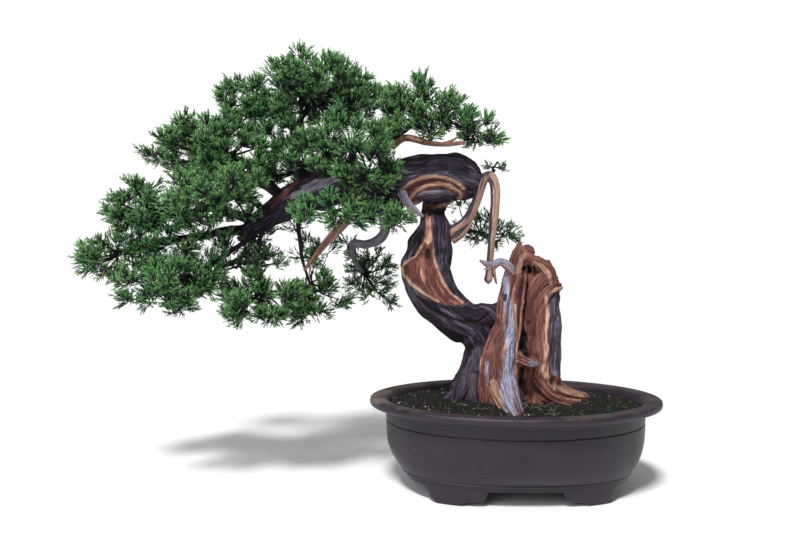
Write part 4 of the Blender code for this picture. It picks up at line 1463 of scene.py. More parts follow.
@dataclass
class Jin:
    """A stripped branch of bare wood.

    Attributes:
        name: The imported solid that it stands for.
        routes: Its limbs.
        silver: How weathered it is.
        pale: How cream its wood is.
        rust: How red its wood is.
        barked: How much bark is left on its left side.
        voxel: How fine its faces are.
    """

    name: str
    routes: tuple[Route, ...]
    silver: float = 0.0
    pale: float = 0.3
    rust: float = 0.0
    barked: float = 0.0
    voxel: float = 0.0011

    def build(self, stand: Stand, material: bpy.types.Material) -> None:
        """Builds and dresses it.

        Args:
            stand: Where it stands.
            material: The bare wood.
        """
        wood = FusedWood(self.routes, self.voxel)
        wood.grow()
        turn = wood.turns()
        twist = turn[:, 2] * 9
        spun = np.stack([turn[:, 0] * np.cos(twist) - turn[:, 1] * np.sin(twist),
                         turn[:, 0] * np.sin(twist) + turn[:, 1] * np.cos(twist), turn[:, 2] * 9], axis=1)
        wood.press(0.0013 * (ridges(spun * (1.6, 1.6, 1), 3) - 0.5) + 0.0005
                   * grain_noise(spun * (4, 4, 2), 4))
        count = len(wood.points)
        out = wood.normals()
        edge = ease(grain_noise(spun * (1.4, 1.4, 1.2), 7), 0.05, 0.3)
        layers = {
            "silver": np.clip(self.silver * (0.25 + 0.9 * ease(out[:, 2], -0.45, 0.35)), 0, 1),
            "pale": np.clip(self.pale + 0.4 * edge, 0, 1) * np.ones(count),
            "rust": np.clip(self.rust - 0.5 * edge, 0, 1) * np.ones(count),
            # The middle of the bark left on its left side is darker still.
            "painted_shade_and_dark_bark": 0.55 * self.barked * ease(-out[:, 0] + 0.35 * out[:, 2], 0.3, 0.6),
            "barked": self.barked * ease(-out[:, 0] + 0.35 * out[:, 2], 0.15, 0.5),
        }
        shape = Shape("grain", "relief", "pale", "rust", "silver", "painted_shade_and_dark_bark", "barked")
        shape.add(wood.points, wood.faces, grain=wood.grain, relief=wood.relief, **layers)
        stand.hand_over(shape.make(self.name + "_wood", stand.offset), material, Slot.DEAD, self.name)


JINS = (
    Jin("hooked_jin", (
        ((-0.119, 0.0, 0.433, 0.011), (-0.085, -0.006, 0.455, 0.009), (-0.068, -0.01, 0.488, 0.008),
         (-0.058, -0.014, 0.52, 0.008), (-0.051, -0.016, 0.536, 0.007)),
        ((-0.054, -0.015, 0.531, 0.008), (-0.042, -0.019, 0.532, 0.009), (-0.035, -0.022, 0.508, 0.008),
         (-0.039, -0.024, 0.459, 0.007), (-0.044, -0.025, 0.399, 0.0055), (-0.047, -0.025, 0.366, 0.005),
         (-0.048, -0.025, 0.358, 0.0065), (-0.048, -0.025, 0.353, 0.004)),
        ((-0.043, -0.028, 0.392, 0.003), (-0.04, -0.028, 0.372, 0.0035), (-0.034, -0.028, 0.35, 0.0015)),
        ((-0.108, -0.012, 0.424, 0.007), (-0.092, -0.022, 0.436, 0.006), (-0.08, -0.024, 0.45, 0.003)),
    ), pale=0.45, barked=0.95),
    Jin("short_jin", (
        ((-0.007, -0.044, 0.368, 0.008), (-0.02, -0.052, 0.382, 0.0075), (-0.032, -0.056, 0.388, 0.006),
         (-0.044, -0.059, 0.382, 0.0068), (-0.055, -0.061, 0.385, 0.005), (-0.066, -0.062, 0.39, 0.002)),
        ((-0.044, -0.059, 0.382, 0.005), (-0.052, -0.061, 0.377, 0.003), (-0.06, -0.062, 0.376, 0.001)),
    ), silver=1.0, rust=0.4, pale=0.2),
    Jin("twin_jin", (
        ((-0.197, -0.03, 0.514, 0.01), (-0.191, -0.048, 0.494, 0.007), (-0.175, -0.052, 0.476, 0.005),
         (-0.161, -0.054, 0.464, 0.003)),
        ((-0.191, -0.048, 0.494, 0.006), (-0.181, -0.053, 0.474, 0.004), (-0.171, -0.056, 0.454, 0.003)),
    ), silver=0.9),
    Jin("upper_jin", (
        ((-0.212, -0.014, 0.586, 0.006), (-0.188, -0.032, 0.598, 0.0055), (-0.152, -0.038, 0.588, 0.005),
         (-0.118, -0.042, 0.585, 0.0035), (-0.088, -0.044, 0.588, 0.0022)),
        ((-0.127, -0.04, 0.586, 0.003), (-0.108, -0.044, 0.593, 0.002), (-0.098, -0.044, 0.602, 0.001)),
    ), pale=0.25, rust=0.45),
    Jin("spear_jin", (
        ((-0.269, -0.024, 0.496, 0.01), (-0.293, -0.052, 0.454, 0.009), (-0.325, -0.062, 0.416, 0.006),
         (-0.357, -0.068, 0.374, 0.002)),
    ), pale=0.1, rust=0.55),
)


# ---------- the crown


@dataclass(frozen=True)
class Pad:
    """One pad of foliage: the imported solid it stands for, and how it grows.

    Attributes:
        centre: Its middle.
        half: Half its length, depth and height.
        branch: The branch that carries it.
        lift: How far its sprays point up rather than out.
        thick: How full it is, 1 for a dense one.
        bare: How many leafless twigs hang below it.
        scale: How long its sprays are, 1 for a full one.
        extra: Clumps that reach out of it, each (x, y, z, radius).
    """

    centre: tuple[float, float, float]
    half: tuple[float, float, float]
    branch: str
    lift: float = 0.75
    thick: float = 1.0
    bare: int = 0
    scale: float = 1.0
    extra: tuple[tuple[float, float, float, float], ...] = ()


PADS = {
    "apex_front": Pad((-0.347, -0.06, 0.694), (0.088, 0.085, 0.05), "apex", lift=1.0, extra=(
        (-0.275, -0.06, 0.655, 0.034), (-0.29, -0.05, 0.712, 0.026), (-0.404, -0.05, 0.712, 0.024),
        (-0.385, -0.06, 0.692, 0.026), (-0.262, -0.05, 0.694, 0.026), (-0.25, -0.05, 0.668, 0.024),
        (-0.4, -0.04, 0.654, 0.026), (-0.385, -0.045, 0.622, 0.024),
    )),
    "apex_back": Pad((-0.327, 0.1, 0.68), (0.108, 0.095, 0.062), "apex", lift=0.9, extra=(
        (-0.4, 0.02, 0.6, 0.028), (-0.372, -0.03, 0.59, 0.026), (-0.385, -0.04, 0.562, 0.026),
    )),
    "top_left": Pad((-0.455, 0.01, 0.67), (0.068, 0.085, 0.044), "top_left", lift=0.7, extra=(
        (-0.49, 0.0, 0.637, 0.024), (-0.448, -0.04, 0.64, 0.022), (-0.436, 0.0, 0.642, 0.026),
        (-0.418, -0.03, 0.616, 0.026), (-0.448, -0.01, 0.612, 0.026), (-0.474, -0.03, 0.622, 0.024),
    )),
    "right_top": Pad((-0.153, -0.03, 0.649), (0.082, 0.09, 0.05), "right_top", lift=0.9, extra=(
        (-0.083, -0.02, 0.638, 0.032), (-0.147, -0.05, 0.611, 0.028), (-0.205, -0.06, 0.611, 0.03),
        (-0.2, -0.04, 0.67, 0.024), (-0.224, -0.05, 0.648, 0.024),
    )),
    "right_tip": Pad((-0.059, 0.004, 0.612), (0.058, 0.06, 0.029), "right_top", lift=0.5, thick=0.85),
    "mid_front": Pad((-0.272, -0.12, 0.586), (0.078, 0.06, 0.038), "mid_front", lift=0.9, extra=(
        (-0.345, -0.11, 0.583, 0.034), (-0.235, -0.12, 0.566, 0.032), (-0.232, -0.07, 0.604, 0.032),
        (-0.3, -0.09, 0.622, 0.03), (-0.212, -0.1, 0.545, 0.024), (-0.33, -0.11, 0.542, 0.028),
        (-0.29, -0.125, 0.532, 0.03), (-0.252, -0.125, 0.528, 0.028), (-0.222, -0.1, 0.518, 0.022),
    )),
    "mid_back": Pad((-0.388, 0.14, 0.568), (0.112, 0.074, 0.056), "mid_back", lift=0.8, extra=(
        (-0.3, 0.12, 0.56, 0.036), (-0.35, 0.08, 0.52, 0.03),
    )),
    "upper_left": Pad((-0.519, -0.07, 0.59), (0.084, 0.084, 0.049), "upper_left", lift=0.9, extra=(
        (-0.445, -0.08, 0.54, 0.032), (-0.45, -0.05, 0.6, 0.03), (-0.5, -0.11, 0.548, 0.03),
        (-0.492, -0.06, 0.616, 0.026), (-0.422, -0.06, 0.585, 0.026), (-0.52, -0.07, 0.56, 0.028),
        (-0.425, -0.07, 0.56, 0.024),
    )),
    "upper_back": Pad((-0.591, 0.11, 0.588), (0.09, 0.084, 0.056), "upper_back", lift=0.7),
    "mid_left": Pad((-0.489, -0.14, 0.508), (0.08, 0.064, 0.034), "mid_left", lift=0.8, extra=(
        (-0.564, -0.09, 0.488, 0.036), (-0.479, -0.11, 0.496, 0.034), (-0.53, -0.09, 0.512, 0.034),
        (-0.43, -0.11, 0.52, 0.024), (-0.455, -0.08, 0.505, 0.028), (-0.5, -0.06, 0.53, 0.028),
        (-0.532, -0.06, 0.472, 0.028), (-0.446, -0.06, 0.474, 0.022), (-0.49, -0.07, 0.47, 0.026),
    )),
    "left": Pad((-0.638, -0.02, 0.484), (0.084, 0.098, 0.046), "left", lift=0.55, extra=(
        (-0.623, -0.04, 0.452, 0.034), (-0.56, -0.03, 0.456, 0.028), (-0.675, -0.02, 0.45, 0.028),
        (-0.582, -0.04, 0.444, 0.024), (-0.53, -0.04, 0.436, 0.02),
    )),
    "far_left": Pad((-0.7, 0.0, 0.394), (0.072, 0.086, 0.048), "far_left", lift=0.3, bare=10, extra=(
        (-0.598, -0.05, 0.416, 0.036), (-0.65, -0.02, 0.424, 0.032), (-0.623, -0.03, 0.382, 0.032),
        (-0.55, -0.05, 0.41, 0.028),
    )),
    "low_left": Pad((-0.587, -0.09, 0.348), (0.084, 0.074, 0.046), "low_left", lift=0.55, bare=12, extra=(
        (-0.555, -0.06, 0.385, 0.034), (-0.508, -0.08, 0.362, 0.034), (-0.555, -0.08, 0.318, 0.028),
        (-0.5, -0.07, 0.396, 0.026),
    )),
    "low_back": Pad((-0.601, 0.1, 0.346), (0.094, 0.078, 0.05), "low_back", lift=0.5, thick=0.9, bare=12),
    "low_middle": Pad((-0.425, -0.056, 0.322), (0.088, 0.08, 0.04), "low_middle", lift=0.6, bare=12, extra=(
        (-0.47, -0.06, 0.338, 0.034), (-0.44, -0.06, 0.372, 0.026), (-0.41, -0.06, 0.296, 0.028),
        (-0.478, -0.05, 0.3, 0.026),
    )),
    "front_centre": Pad((-0.303, -0.132, 0.471), (0.088, 0.052, 0.03), "front_centre", extra=(
        (-0.241, -0.1, 0.472, 0.028), (-0.27, -0.11, 0.49, 0.024),
    )),
    "front_right": Pad((-0.207, -0.11, 0.462), (0.034, 0.04, 0.034), "front_right", lift=0.5, thick=0.9),
    "back_low": Pad((-0.253, 0.11, 0.354), (0.062, 0.064, 0.056), "hoop", lift=0.35, thick=0.5, bare=10,
                    scale=0.95, extra=(
        (-0.296, 0.07, 0.424, 0.02), (-0.282, 0.08, 0.4, 0.026), (-0.262, 0.095, 0.374, 0.026),
        (-0.24, 0.1, 0.35, 0.026), (-0.222, 0.1, 0.328, 0.022), (-0.206, 0.1, 0.308, 0.018),
        (-0.236, 0.09, 0.404, 0.022), (-0.214, 0.1, 0.384, 0.022), (-0.256, 0.09, 0.396, 0.02),
    )),
    "back_right": Pad((-0.021, 0.15, 0.441), (0.061, 0.062, 0.046), "back_right", lift=0.35, thick=0.62,
                      bare=10, scale=0.8, extra=(
        (-0.085, 0.1, 0.452, 0.02), (-0.09, 0.11, 0.496, 0.018), (-0.062, 0.12, 0.484, 0.02),
        (-0.106, 0.09, 0.446, 0.018), (-0.06, 0.12, 0.43, 0.02), (-0.03, 0.12, 0.47, 0.02),
    )),
    "low_right": Pad((-0.345, 0.01, 0.322), (0.066, 0.066, 0.04), "low_right", lift=0.5, thick=0.9, bare=8,
                     extra=(
        (-0.326, -0.01, 0.352, 0.028), (-0.372, -0.03, 0.3, 0.03),
    )),
    "inner_right": Pad((-0.345, 0.08, 0.408), (0.046, 0.052, 0.03), "low_right", lift=0.6, thick=0.5,
                       scale=0.9, extra=(
        (-0.388, 0.02, 0.456, 0.024), (-0.366, 0.03, 0.432, 0.02), (-0.374, 0.02, 0.402, 0.019),
        (-0.35, 0.03, 0.386, 0.02), (-0.334, 0.02, 0.37, 0.02),
    )),
    "inner_left": Pad((-0.482, 0.06, 0.402), (0.07, 0.062, 0.036), "low_back", lift=0.6, thick=0.6, scale=0.9,
                      extra=(
        (-0.432, 0.01, 0.438, 0.024), (-0.466, 0.01, 0.43, 0.026), (-0.5, -0.03, 0.43, 0.026),
        (-0.52, -0.04, 0.452, 0.026), (-0.452, -0.03, 0.412, 0.024), (-0.424, -0.03, 0.402, 0.022),
        (-0.402, -0.03, 0.386, 0.022), (-0.47, -0.02, 0.388, 0.024), (-0.44, -0.03, 0.378, 0.022),
    )),
    "tuft": Pad((-0.03, 0.026, 0.557), (0.021, 0.018, 0.011), "tuft", lift=0.6, thick=0.75, scale=0.6, extra=(
        (-0.046, 0.004, 0.554, 0.01), (-0.014, 0.02, 0.552, 0.009),
    )),
}

BRANCHES: dict[str, Route] = {
    "apex": ((-0.347, 0.01, 0.514, 0.018), (-0.385, 0.026, 0.568, 0.014), (-0.371, 0.03, 0.62, 0.01),
             (-0.359, 0.022, 0.676, 0.005)),
    "top_left": ((-0.374, 0.03, 0.614, 0.009), (-0.413, 0.014, 0.65, 0.007), (-0.449, 0.002, 0.672, 0.004)),
    "right_top": ((-0.219, -0.004, 0.52, 0.015), (-0.223, -0.008, 0.574, 0.011),
                  (-0.193, -0.018, 0.61, 0.008),
                  (-0.143, -0.02, 0.634, 0.005), (-0.083, -0.004, 0.62, 0.003)),
    "mid_front": ((-0.279, 0.006, 0.52, 0.011), (-0.281, -0.05, 0.558, 0.008), (-0.273, -0.1, 0.574, 0.004)),
    "mid_back": ((-0.327, 0.012, 0.514, 0.012), (-0.349, 0.068, 0.544, 0.009), (-0.383, 0.12, 0.56, 0.005)),
    "upper_left": ((-0.393, 0.0, 0.488, 0.013), (-0.435, -0.03, 0.532, 0.01), (-0.487, -0.06, 0.566, 0.006)),
    "upper_back": ((-0.393, 0.0, 0.49, 0.013), (-0.463, 0.052, 0.538, 0.009), (-0.553, 0.092, 0.578, 0.005)),
    "mid_left": ((-0.411, -0.002, 0.476, 0.011), (-0.441, -0.056, 0.488, 0.008),
                 (-0.473, -0.106, 0.498, 0.005)),
    "left": ((-0.445, 0.0, 0.454, 0.013), (-0.517, -0.01, 0.476, 0.01), (-0.607, -0.018, 0.474, 0.006)),
    "far_left": ((-0.453, 0.0, 0.449, 0.013), (-0.527, 0.004, 0.428, 0.01), (-0.607, 0.002, 0.42, 0.008),
                 (-0.687, 0.0, 0.406, 0.004)),
    "low_left": ((-0.447, 0.0, 0.452, 0.008), (-0.483, -0.04, 0.4, 0.006), (-0.545, -0.076, 0.364, 0.004)),
    "low_back": ((-0.443, 0.0, 0.454, 0.008), (-0.487, 0.048, 0.396, 0.006), (-0.557, 0.082, 0.356, 0.004)),
    "low_middle": ((-0.417, 0.0, 0.472, 0.008), (-0.443, -0.024, 0.404, 0.006),
                   (-0.431, -0.044, 0.344, 0.004)),
    "low_right": ((-0.372, 0.002, 0.49, 0.007), (-0.372, 0.018, 0.418, 0.005), (-0.352, 0.012, 0.35, 0.003)),
    "front_centre": ((-0.327, 0.008, 0.513, 0.01), (-0.323, -0.058, 0.484, 0.007),
                     (-0.307, -0.104, 0.472, 0.004)),
    "front_right": ((-0.229, 0.0, 0.515, 0.01), (-0.213, -0.058, 0.484, 0.006),
                    (-0.197, -0.094, 0.474, 0.004)),
    "hoop": ((-0.232, 0.004, 0.5, 0.012), (-0.224, 0.016, 0.455, 0.01), (-0.233, 0.022, 0.427, 0.009),
             (-0.257, 0.03, 0.414, 0.008), (-0.285, 0.046, 0.418, 0.006), (-0.282, 0.074, 0.392, 0.005),
             (-0.264, 0.096, 0.366, 0.004)),
    "back_right": ((-0.143, 0.004, 0.432, 0.011), (-0.103, 0.07, 0.434, 0.008), (-0.047, 0.128, 0.44, 0.004)),
    "tuft": ((-0.049, -0.016, 0.53, 0.004), (-0.041, 0.006, 0.548, 0.003), (-0.033, 0.022, 0.554, 0.002)),
}


@dataclass
class Sprig:
    """One spray of scale leaves, a unit long: a stem with short side shoots in a loose fan."""

    points: Array
    quads: Array
    tris: Array
    rise: Array
    cell: Array
    spikes: int

    @classmethod
    def grow(cls, rng: np.random.Generator, shoots: int) -> "Sprig":
        """Grows one.

        Args:
            rng: The source of chance.
            shoots: How many side shoots it has.

        Returns:
            The spray, rooted at the origin and pointing along +Z.
        """
        points, quads, tris, rise, cell = [], [], [], [], []
        bend = rng.normal(0, 0.12, 2)

        def stem_at(share: float) -> Array:
            """A point on the stem."""
            return np.array([bend[0] * share**2, bend[1] * share**2, share])

        def spike(foot: Array, head: Array, width: float, low: float, high: float, number: int) -> None:
            """Adds one tapered shoot of three sides."""
            rings = ((0.0, 0.55), (0.45, 1.0), (0.86, 0.85)) if number == 0 else ((0.0, 0.55), (0.78, 1.0))
            ahead = unit(head - foot)
            first = unit(np.cross(ahead, np.array([0.31, 0.95, 0.12])))
            second = np.cross(ahead, first)
            start = len(points)
            for share, swell in rings:
                for side in range(3):
                    turn = side * 2 * math.pi / 3 + number
                    out = (first * math.cos(turn) + second * math.sin(turn)) * width * swell
                    points.append(foot + (head - foot) * share + out)
                    rise.append(low + (high - low) * share)
                    cell.append((number, share, side / 3))
            points.append(head)
            rise.append(high)
            cell.append((number, 1.0, 0.5))
            for row in range(0, 3 * len(rings) - 3, 3):
                for side in range(3):
                    after = (side + 1) % 3
                    quads.append([start + row + side, start + row + after, start + row + after + 3,
                                  start + row + side + 3])
            for side in range(3):
                last = start + 3 * len(rings) - 3
                tris.append([last + side, last + (side + 1) % 3, last + 3])

        spike(stem_at(0), stem_at(1), 0.048, 0.0, 1.0, 0)
        plane = rng.uniform(0, math.pi)
        for number in range(shoots):
            at = 0.22 + 0.6 * (number + rng.uniform(0, 0.8)) / shoots
            turn = plane + (number % 2) * math.pi + rng.normal(0, 0.5)
            splay = rng.uniform(0.24, 0.55)
            heading = unit(np.array([math.cos(turn) * splay, math.sin(turn) * splay, 1.0]))
            length = rng.uniform(0.36, 0.58) * (1.15 - 0.45 * at)
            spike(stem_at(at), stem_at(at) + heading * length, 0.044, at * 0.8, 0.75 + 0.25 * rng.uniform(),
                  number + 1)
        return cls(np.array(points), np.array(quads), np.array(tris), np.array(rise), np.array(cell),
                   shoots + 1)


@dataclass
class Crown:
    """The branches with their twigs, and the pads of foliage that they carry."""

    stand: Stand
    spray_length: float = 0.0175
    clumps_a_pad: int = 13
    twigs_a_clump: float = 14.0
    clump_radius: float = 0.024
    usual_half: tuple[float, float, float] = (0.084, 0.08, 0.046)
    twig_radius: float = 0.0008
    lowest_ends: int = 12
    kinds: int = 10

    def lump(self, heading: Array, number: int) -> Array:
        """How far a pad stands out each way, as a share of its size."""
        waves = np.sin(3 * heading[:, 0] + number) * np.cos(3 * heading[:, 1] - 2 * number)
        bumps = grain_noise(heading * 2.4, number)
        return 1 + 0.08 * waves + 0.16 * bumps

    def bough(self, start: Array, end: Array, radius: float, rng: np.random.Generator) -> Array:
        """A twig's curve, with a little sag and a few kinks.

        Args:
            start: Where it leaves.
            end: Its tip.
            radius: How thick it starts.
            rng: The source of chance.

        Returns:
            Points of (x, y, z, radius).
        """
        share = np.linspace(0, 1, 6)[:, None]
        line = start + (end - start) * share
        line[:, 2] -= 0.12 * np.linalg.norm(end - start) * np.sin(math.pi * share[:, 0])
        thin = radius * (1 - 0.65 * share)
        return wobble(np.hstack([line, thin]), 0.1 * np.linalg.norm(end - start), int(rng.integers(1, 999)))

    def clumps(self, pad: Pad, number: int, rng: np.random.Generator) -> Array:
        """Where a pad's clumps of twigs are.

        Args:
            pad: The pad.
            number: The pad's number, for its lumps.
            rng: The source of chance.

        Returns:
            Each clump's middle and radius, (n, 4).
        """
        half = np.array(pad.half)
        area = (half[0] * half[1] * half[2]) ** (2 / 3) / math.prod(self.usual_half) ** (2 / 3)
        count = max(2, int(self.clumps_a_pad * area))
        heading = unit(rng.normal(0, 1, (count * 12, 3)))
        squash = np.where(heading[:, 2:] < 0, (1, 1, 0.75), (1, 1, 1))
        place = heading * half * squash * self.lump(heading, number)[:, None]
        place *= rng.uniform(0.25, 1.0, (len(place), 1)) ** 0.4
        chosen = [0]
        for _ in range(count - 1):
            gaps = np.linalg.norm((place[:, None] - place[chosen][None]) / (half + 0.01), axis=2).min(axis=1)
            chosen.append(int(gaps.argmax()))
        radius = rng.uniform(0.75, 1.15, (count, 1)) * self.clump_radius * min(1.0, half.min() / 0.03)
        own = np.hstack([np.array(pad.centre) + place[chosen] * (1 - 0.8 * radius / half.max()), radius])
        return np.vstack([own, np.array(pad.extra).reshape(-1, 4)])

    def tips(self, clump: Array, pad: Pad, rng: np.random.Generator) -> tuple[Array, Array]:
        """Where the twigs of one clump end, and which way they point.

        Args:
            clump: Its middle and radius.
            pad: The pad that it belongs to.
            rng: The source of chance.

        Returns:
            Twig ends and headings.
        """
        middle, radius = clump[:3], clump[3]
        count = max(3, int(self.twigs_a_clump * pad.thick * (radius / self.clump_radius) ** 1.7))
        heading = unit(rng.normal(0, 1, (count, 3)) + (0, 0, 0.35))
        away = unit((middle - np.array(pad.centre)) * (1, 1, 0.4) + 1e-6)
        aim = unit(heading * 0.75 + away * (0.75 - 0.45 * pad.lift) + (0, 0, pad.lift * 0.85))
        depth = rng.uniform(0.15, 1.0, (count, 1)) ** 0.5
        ends = middle + heading * radius * (1, 1, 0.8) * depth - aim * self.spray_length * 0.8 * pad.scale
        return ends, aim

    def grow_pad(self, name: str, pad: Pad, number: int, wood: Shape, kinds: list[Sprig],
                 material: bpy.types.Material) -> None:
        """Grows one pad: its twigs into the branch's shape, and its sprays as a piece.

        Args:
            name: The pad's name.
            pad: The pad.
            number: Its number.
            wood: The branch's shape.
            kinds: The sprays to choose from.
            material: The foliage's material.
        """
        rng = np.random.default_rng(100 + number)
        carrier = smooth_route(BRANCHES[pad.branch], 8)
        thin = Shape("rise", "hue", "woody")
        feet, points_at, sizes, hues, found = [], [], [], [], []
        for clump in self.clumps(pad, number, rng):
            ends, aims = self.tips(clump, pad, rng)
            gap = np.linalg.norm(carrier[:, :3] - clump[:3], axis=1) + 0.12 * np.linspace(1, 0, len(carrier))
            start = carrier[gap.argmin()]
            bough = self.bough(start[:3], clump[:3], min(0.0028, start[3] * 0.5), rng)
            add_tube(wood, bough, 7, 0.2, number)
            tint = rng.uniform(0, 0.6)
            for end, aim in zip(ends, aims):
                near = bough[np.linalg.norm(bough[2:, :3] - end, axis=1).argmin() + 2]
                add_tube(wood, self.bough(near[:3], end, self.twig_radius, rng)[::2], 4)
                count = int(rng.integers(4, 8))
                spread = rng.normal(0, 0.3, (count, 3))
                feet.append(end + aim * rng.uniform(-0.006, 0.004, (count, 1)) + spread * 0.006)
                points_at.append(unit(aim + spread))
                sizes.append(rng.uniform(0.75, 1.15, count) * pad.scale)
                hues.append(np.clip(tint + rng.uniform(0, 0.4, count), 0, 1))
            found.append(ends)
        ends = np.concatenate(found)
        lowest = ends[ends[:, 2].argsort()[: self.lowest_ends]]
        for _ in range(pad.bare):
            low = lowest[rng.integers(len(lowest))]
            drop = unit(rng.normal(0, 0.5, 3) + (-0.3, 0, -1.0)) * rng.uniform(0.01, 0.02)
            add_tube(wood, self.bough(low, low + drop, self.twig_radius, rng), 4)
            add_tube(wood,
                     self.bough(low + drop * 0.5, low + drop * 0.9 + rng.normal(0, 0.006, 3), 0.0006, rng), 4)
        foot, aim, size, hue = (np.concatenate(rows) for rows in (feet, points_at, sizes, hues))
        self.place(thin, foot, aim, size, hue, kinds, rng)
        cells = self.flat_map(kinds)
        piece = thin.make("sprays_" + name, self.stand.offset, cells)
        self.stand.hand_over(piece, material, Slot.NEEDLES, "foliage_" + name)

    def place(self, shape: Shape, foot: Array, aim: Array, size: Array, hue: Array, kinds: list[Sprig],
              rng: np.random.Generator) -> None:
        """Sets sprays at their places.

        Args:
            shape: The shape that takes them.
            foot: Where each is rooted.
            aim: Which way each points.
            size: Each one's size.
            hue: Each one's tint.
            kinds: The sprays to choose from.
            rng: The source of chance.
        """
        self.order: list[tuple[int, int]] = []
        chosen = rng.integers(0, len(kinds), len(foot))
        for kind, sprig in enumerate(kinds):
            mine = np.flatnonzero(chosen == kind)
            if not len(mine):
                continue
            ahead = aim[mine]
            across = unit(np.cross(ahead, rng.normal(0, 1, (len(mine), 3))))
            turned = np.stack([across, np.cross(ahead, across), ahead], axis=1)
            scale = (self.spray_length * size[mine])[:, None, None]
            points = foot[mine][:, None] + np.einsum("pk,nkj->npj", sprig.points, turned) * scale
            shift = (np.arange(len(mine)) * len(sprig.points))[:, None, None]
            rise = np.clip(sprig.rise[None] + rng.normal(0, 0.08, (len(mine), 1)), 0, 1)
            shape.add(points.reshape(-1, 3), (sprig.quads[None] + shift).reshape(-1, 4),
                      (sprig.tris[None] + shift).reshape(-1, 3), rise=rise.ravel(),
                      hue=np.repeat(hue[mine], len(sprig.points)))
            self.order.append((kind, len(mine)))

    def flat_map(self, kinds: list[Sprig]) -> Array:
        """Gives each shoot of each spray its own cell of the flat map.

        Args:
            kinds: The sprays.

        Returns:
            A place on the map for each point.
        """
        shoots = sum(kinds[kind].spikes * count for kind, count in self.order)
        side = math.ceil(math.sqrt(shoots))
        found, first = [], 0
        for kind, count in self.order:
            sprig = kinds[kind]
            number = first + np.arange(count)[:, None] * sprig.spikes + sprig.cell[None, :, 0].astype(int)
            column = number % side + 0.1 + 0.8 * sprig.cell[None, :, 1]
            row = number // side + 0.1 + 0.8 * sprig.cell[None, :, 2]
            found.append(np.stack([column.ravel(), row.ravel()], axis=1) / side)
            first += count * sprig.spikes
        return np.concatenate(found)

    def build(self) -> None:
        """Builds and dresses the branches and the foliage."""
        rng = np.random.default_rng(5)
        kinds = [Sprig.grow(rng, 3 + k % 3) for k in range(self.kinds)]
        bark = BarkFinish("branch_bark", strand=(0.018, 0.013, 0.02), crest=(0.08, 0.065, 0.09)).make()
        needles = PlantFinish("needles", (0.0012, 0.003, 0.003), (0.01, 0.041, 0.017), (0.2, 0.43, 0.13),
                              (0.5, 0.88, 1.0)).make()
        shapes = {name: Shape("grain", "worn") for name in BRANCHES}
        for number, (name, route) in enumerate(BRANCHES.items()):
            stripped = name == "hoop"
            line = wobble(smooth_route(route, 12), 0.004 if stripped else 0.009, number + 3)
            line[:, 3] *= 0.95 if stripped else 0.7
            add_tube(shapes[name], line, 16, 0.16, number, worn=0.75 if stripped else 0.0)
        for number, (name, pad) in enumerate(PADS.items()):
            self.grow_pad(name, pad, number, shapes[pad.branch], kinds, needles)
        for name, shape in shapes.items():
            piece = shape.make(f"bough_{name}", self.stand.offset)
            self.stand.hand_over(piece, bark, Slot.BARK, "branch_" + name)


# ---------- the studio


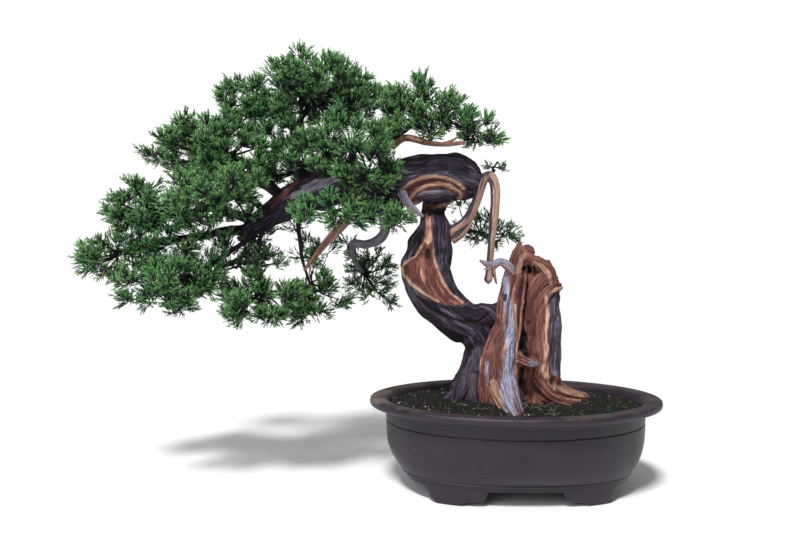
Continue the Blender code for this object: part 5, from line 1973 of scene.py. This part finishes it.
@dataclass
class Studio:
    """A pale floor, soft light from above and the front, and the camera."""

    stand: Stand
    eye: tuple[float, float, float] = (-0.212, -1.41, 0.416)
    lens: float = 36.585
    shift: tuple[float, float] = (0.01, -0.026875)
    floor_reach: float = 9.0
    floor_level: float = -0.0005
    lamp_aim: tuple[float, float, float] = (-0.05, 0.0, 0.38)
    surround_light: float = 0.32
    surround_seen: float = 1.05
    sun_power: float = 3.1
    sun_width: float = 10.0
    sun_turn: tuple[float, float] = (34.0, -12.0)

    def build_floor(self) -> None:
        """Lays the floor."""
        shape = Shape()
        corners = ((-1, -1), (1, -1), (1, 1), (-1, 1))
        shape.add(np.array([(x * self.floor_reach, y * self.floor_reach, self.floor_level) for x,
                            y in corners]),
                  [[0, 1, 2, 3]])
        floor = shape.make("floor", np.zeros(3))
        floor.data.materials.append(FloorFinish().make())

    def add_light(self, name: str, place: tuple[float, float, float], size: float, power: float,
                  colour: Colour = (1, 1, 1)) -> None:
        """Hangs one soft box that faces the tree.

        Args:
            name: Its name.
            place: Where it hangs.
            size: How wide it is.
            power: How bright it is, in watts.
            colour: Its colour.
        """
        light = bpy.data.lights.new(name, "AREA")
        light.shape = "DISK"
        light.size = size
        light.energy = power
        light.color = colour
        lamp = bpy.data.objects.new(name, light)
        bpy.context.scene.collection.objects.link(lamp)
        lamp.location = place
        aim = np.array(self.lamp_aim) - np.array(place)
        yaw = math.atan2(aim[1], aim[0])
        tilt = math.atan2(math.hypot(aim[0], aim[1]), -aim[2])
        lamp.rotation_euler = (tilt, 0, yaw - math.pi / 2)

    def build_world(self) -> None:
        """Makes the white surround, dimmer as light than as a backdrop."""
        world = bpy.data.worlds.new("surround")
        bpy.context.scene.world = world
        world.use_nodes = True
        tree = world.node_tree
        ground = tree.nodes["Background"]
        ground.inputs["Color"].default_value = (1.0, 1.0, 1.0, 1.0)
        path = tree.nodes.new("ShaderNodeLightPath")
        strength = tree.nodes.new("ShaderNodeMapRange")
        strength.inputs["To Min"].default_value = self.surround_light
        strength.inputs["To Max"].default_value = self.surround_seen
        tree.links.new(path.outputs["Is Camera Ray"], strength.inputs["Value"])
        tree.links.new(strength.outputs["Result"], ground.inputs["Strength"])

    def build_camera(self) -> None:
        """Sets up the camera, level with the crown's foot."""
        camera = bpy.data.cameras.new("camera")
        camera.sensor_width = 36
        camera.lens = self.lens
        camera.shift_x, camera.shift_y = self.shift
        holder = bpy.data.objects.new("camera", camera)
        bpy.context.scene.collection.objects.link(holder)
        holder.location = self.stand.offset + np.array(self.eye)
        holder.rotation_euler = (math.pi / 2, 0, 0)
        bpy.context.scene.camera = holder

    def build(self) -> None:
        """Sets the stage."""
        self.build_floor()
        self.build_world()
        self.build_camera()
        self.add_light("fill", (-1.2, -2.2, 1.2), 1.6, 22, (0.93, 0.95, 1.0))
        sun = bpy.data.lights.new("key", "SUN")
        sun.energy = self.sun_power
        sun.angle = math.radians(self.sun_width)
        lamp = bpy.data.objects.new("key", sun)
        bpy.context.scene.collection.objects.link(lamp)
        lamp.rotation_euler = (math.radians(self.sun_turn[0]), math.radians(self.sun_turn[1]), 0)
        scene = bpy.context.scene
        scene.view_settings.view_transform = "Standard"
        scene.view_settings.look = "None"


def main() -> None:
    """Builds every piece in order."""
    logging.basicConfig(level=logging.INFO, format="%(message)s")
    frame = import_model()
    stand = Stand.at_pot()
    studio = Studio(stand)
    studio.build()
    pot = PotBody(stand)
    pot.build()
    Ground(stand, pot).build()
    LiveTrunk(stand).build()
    DeadStump(stand).build()
    dead = DeadFinish().make()
    for jin in JINS:
        jin.build(stand, dead)
    Crown(stand).build()
    soil, plastic = GroundFinish().make("packed_soil"), PlasticFinish().make()
    for name, material in (("soil_bed", soil), ("drainage_screen_left", plastic),
                           ("drainage_screen_right", plastic)):
        node = frame["nodes"][name]
        node.data.materials.clear()
        node.data.materials.append(material)
        LOG.info("%s: kept from the packed model", name)


if __name__ == "__main__":
    main()
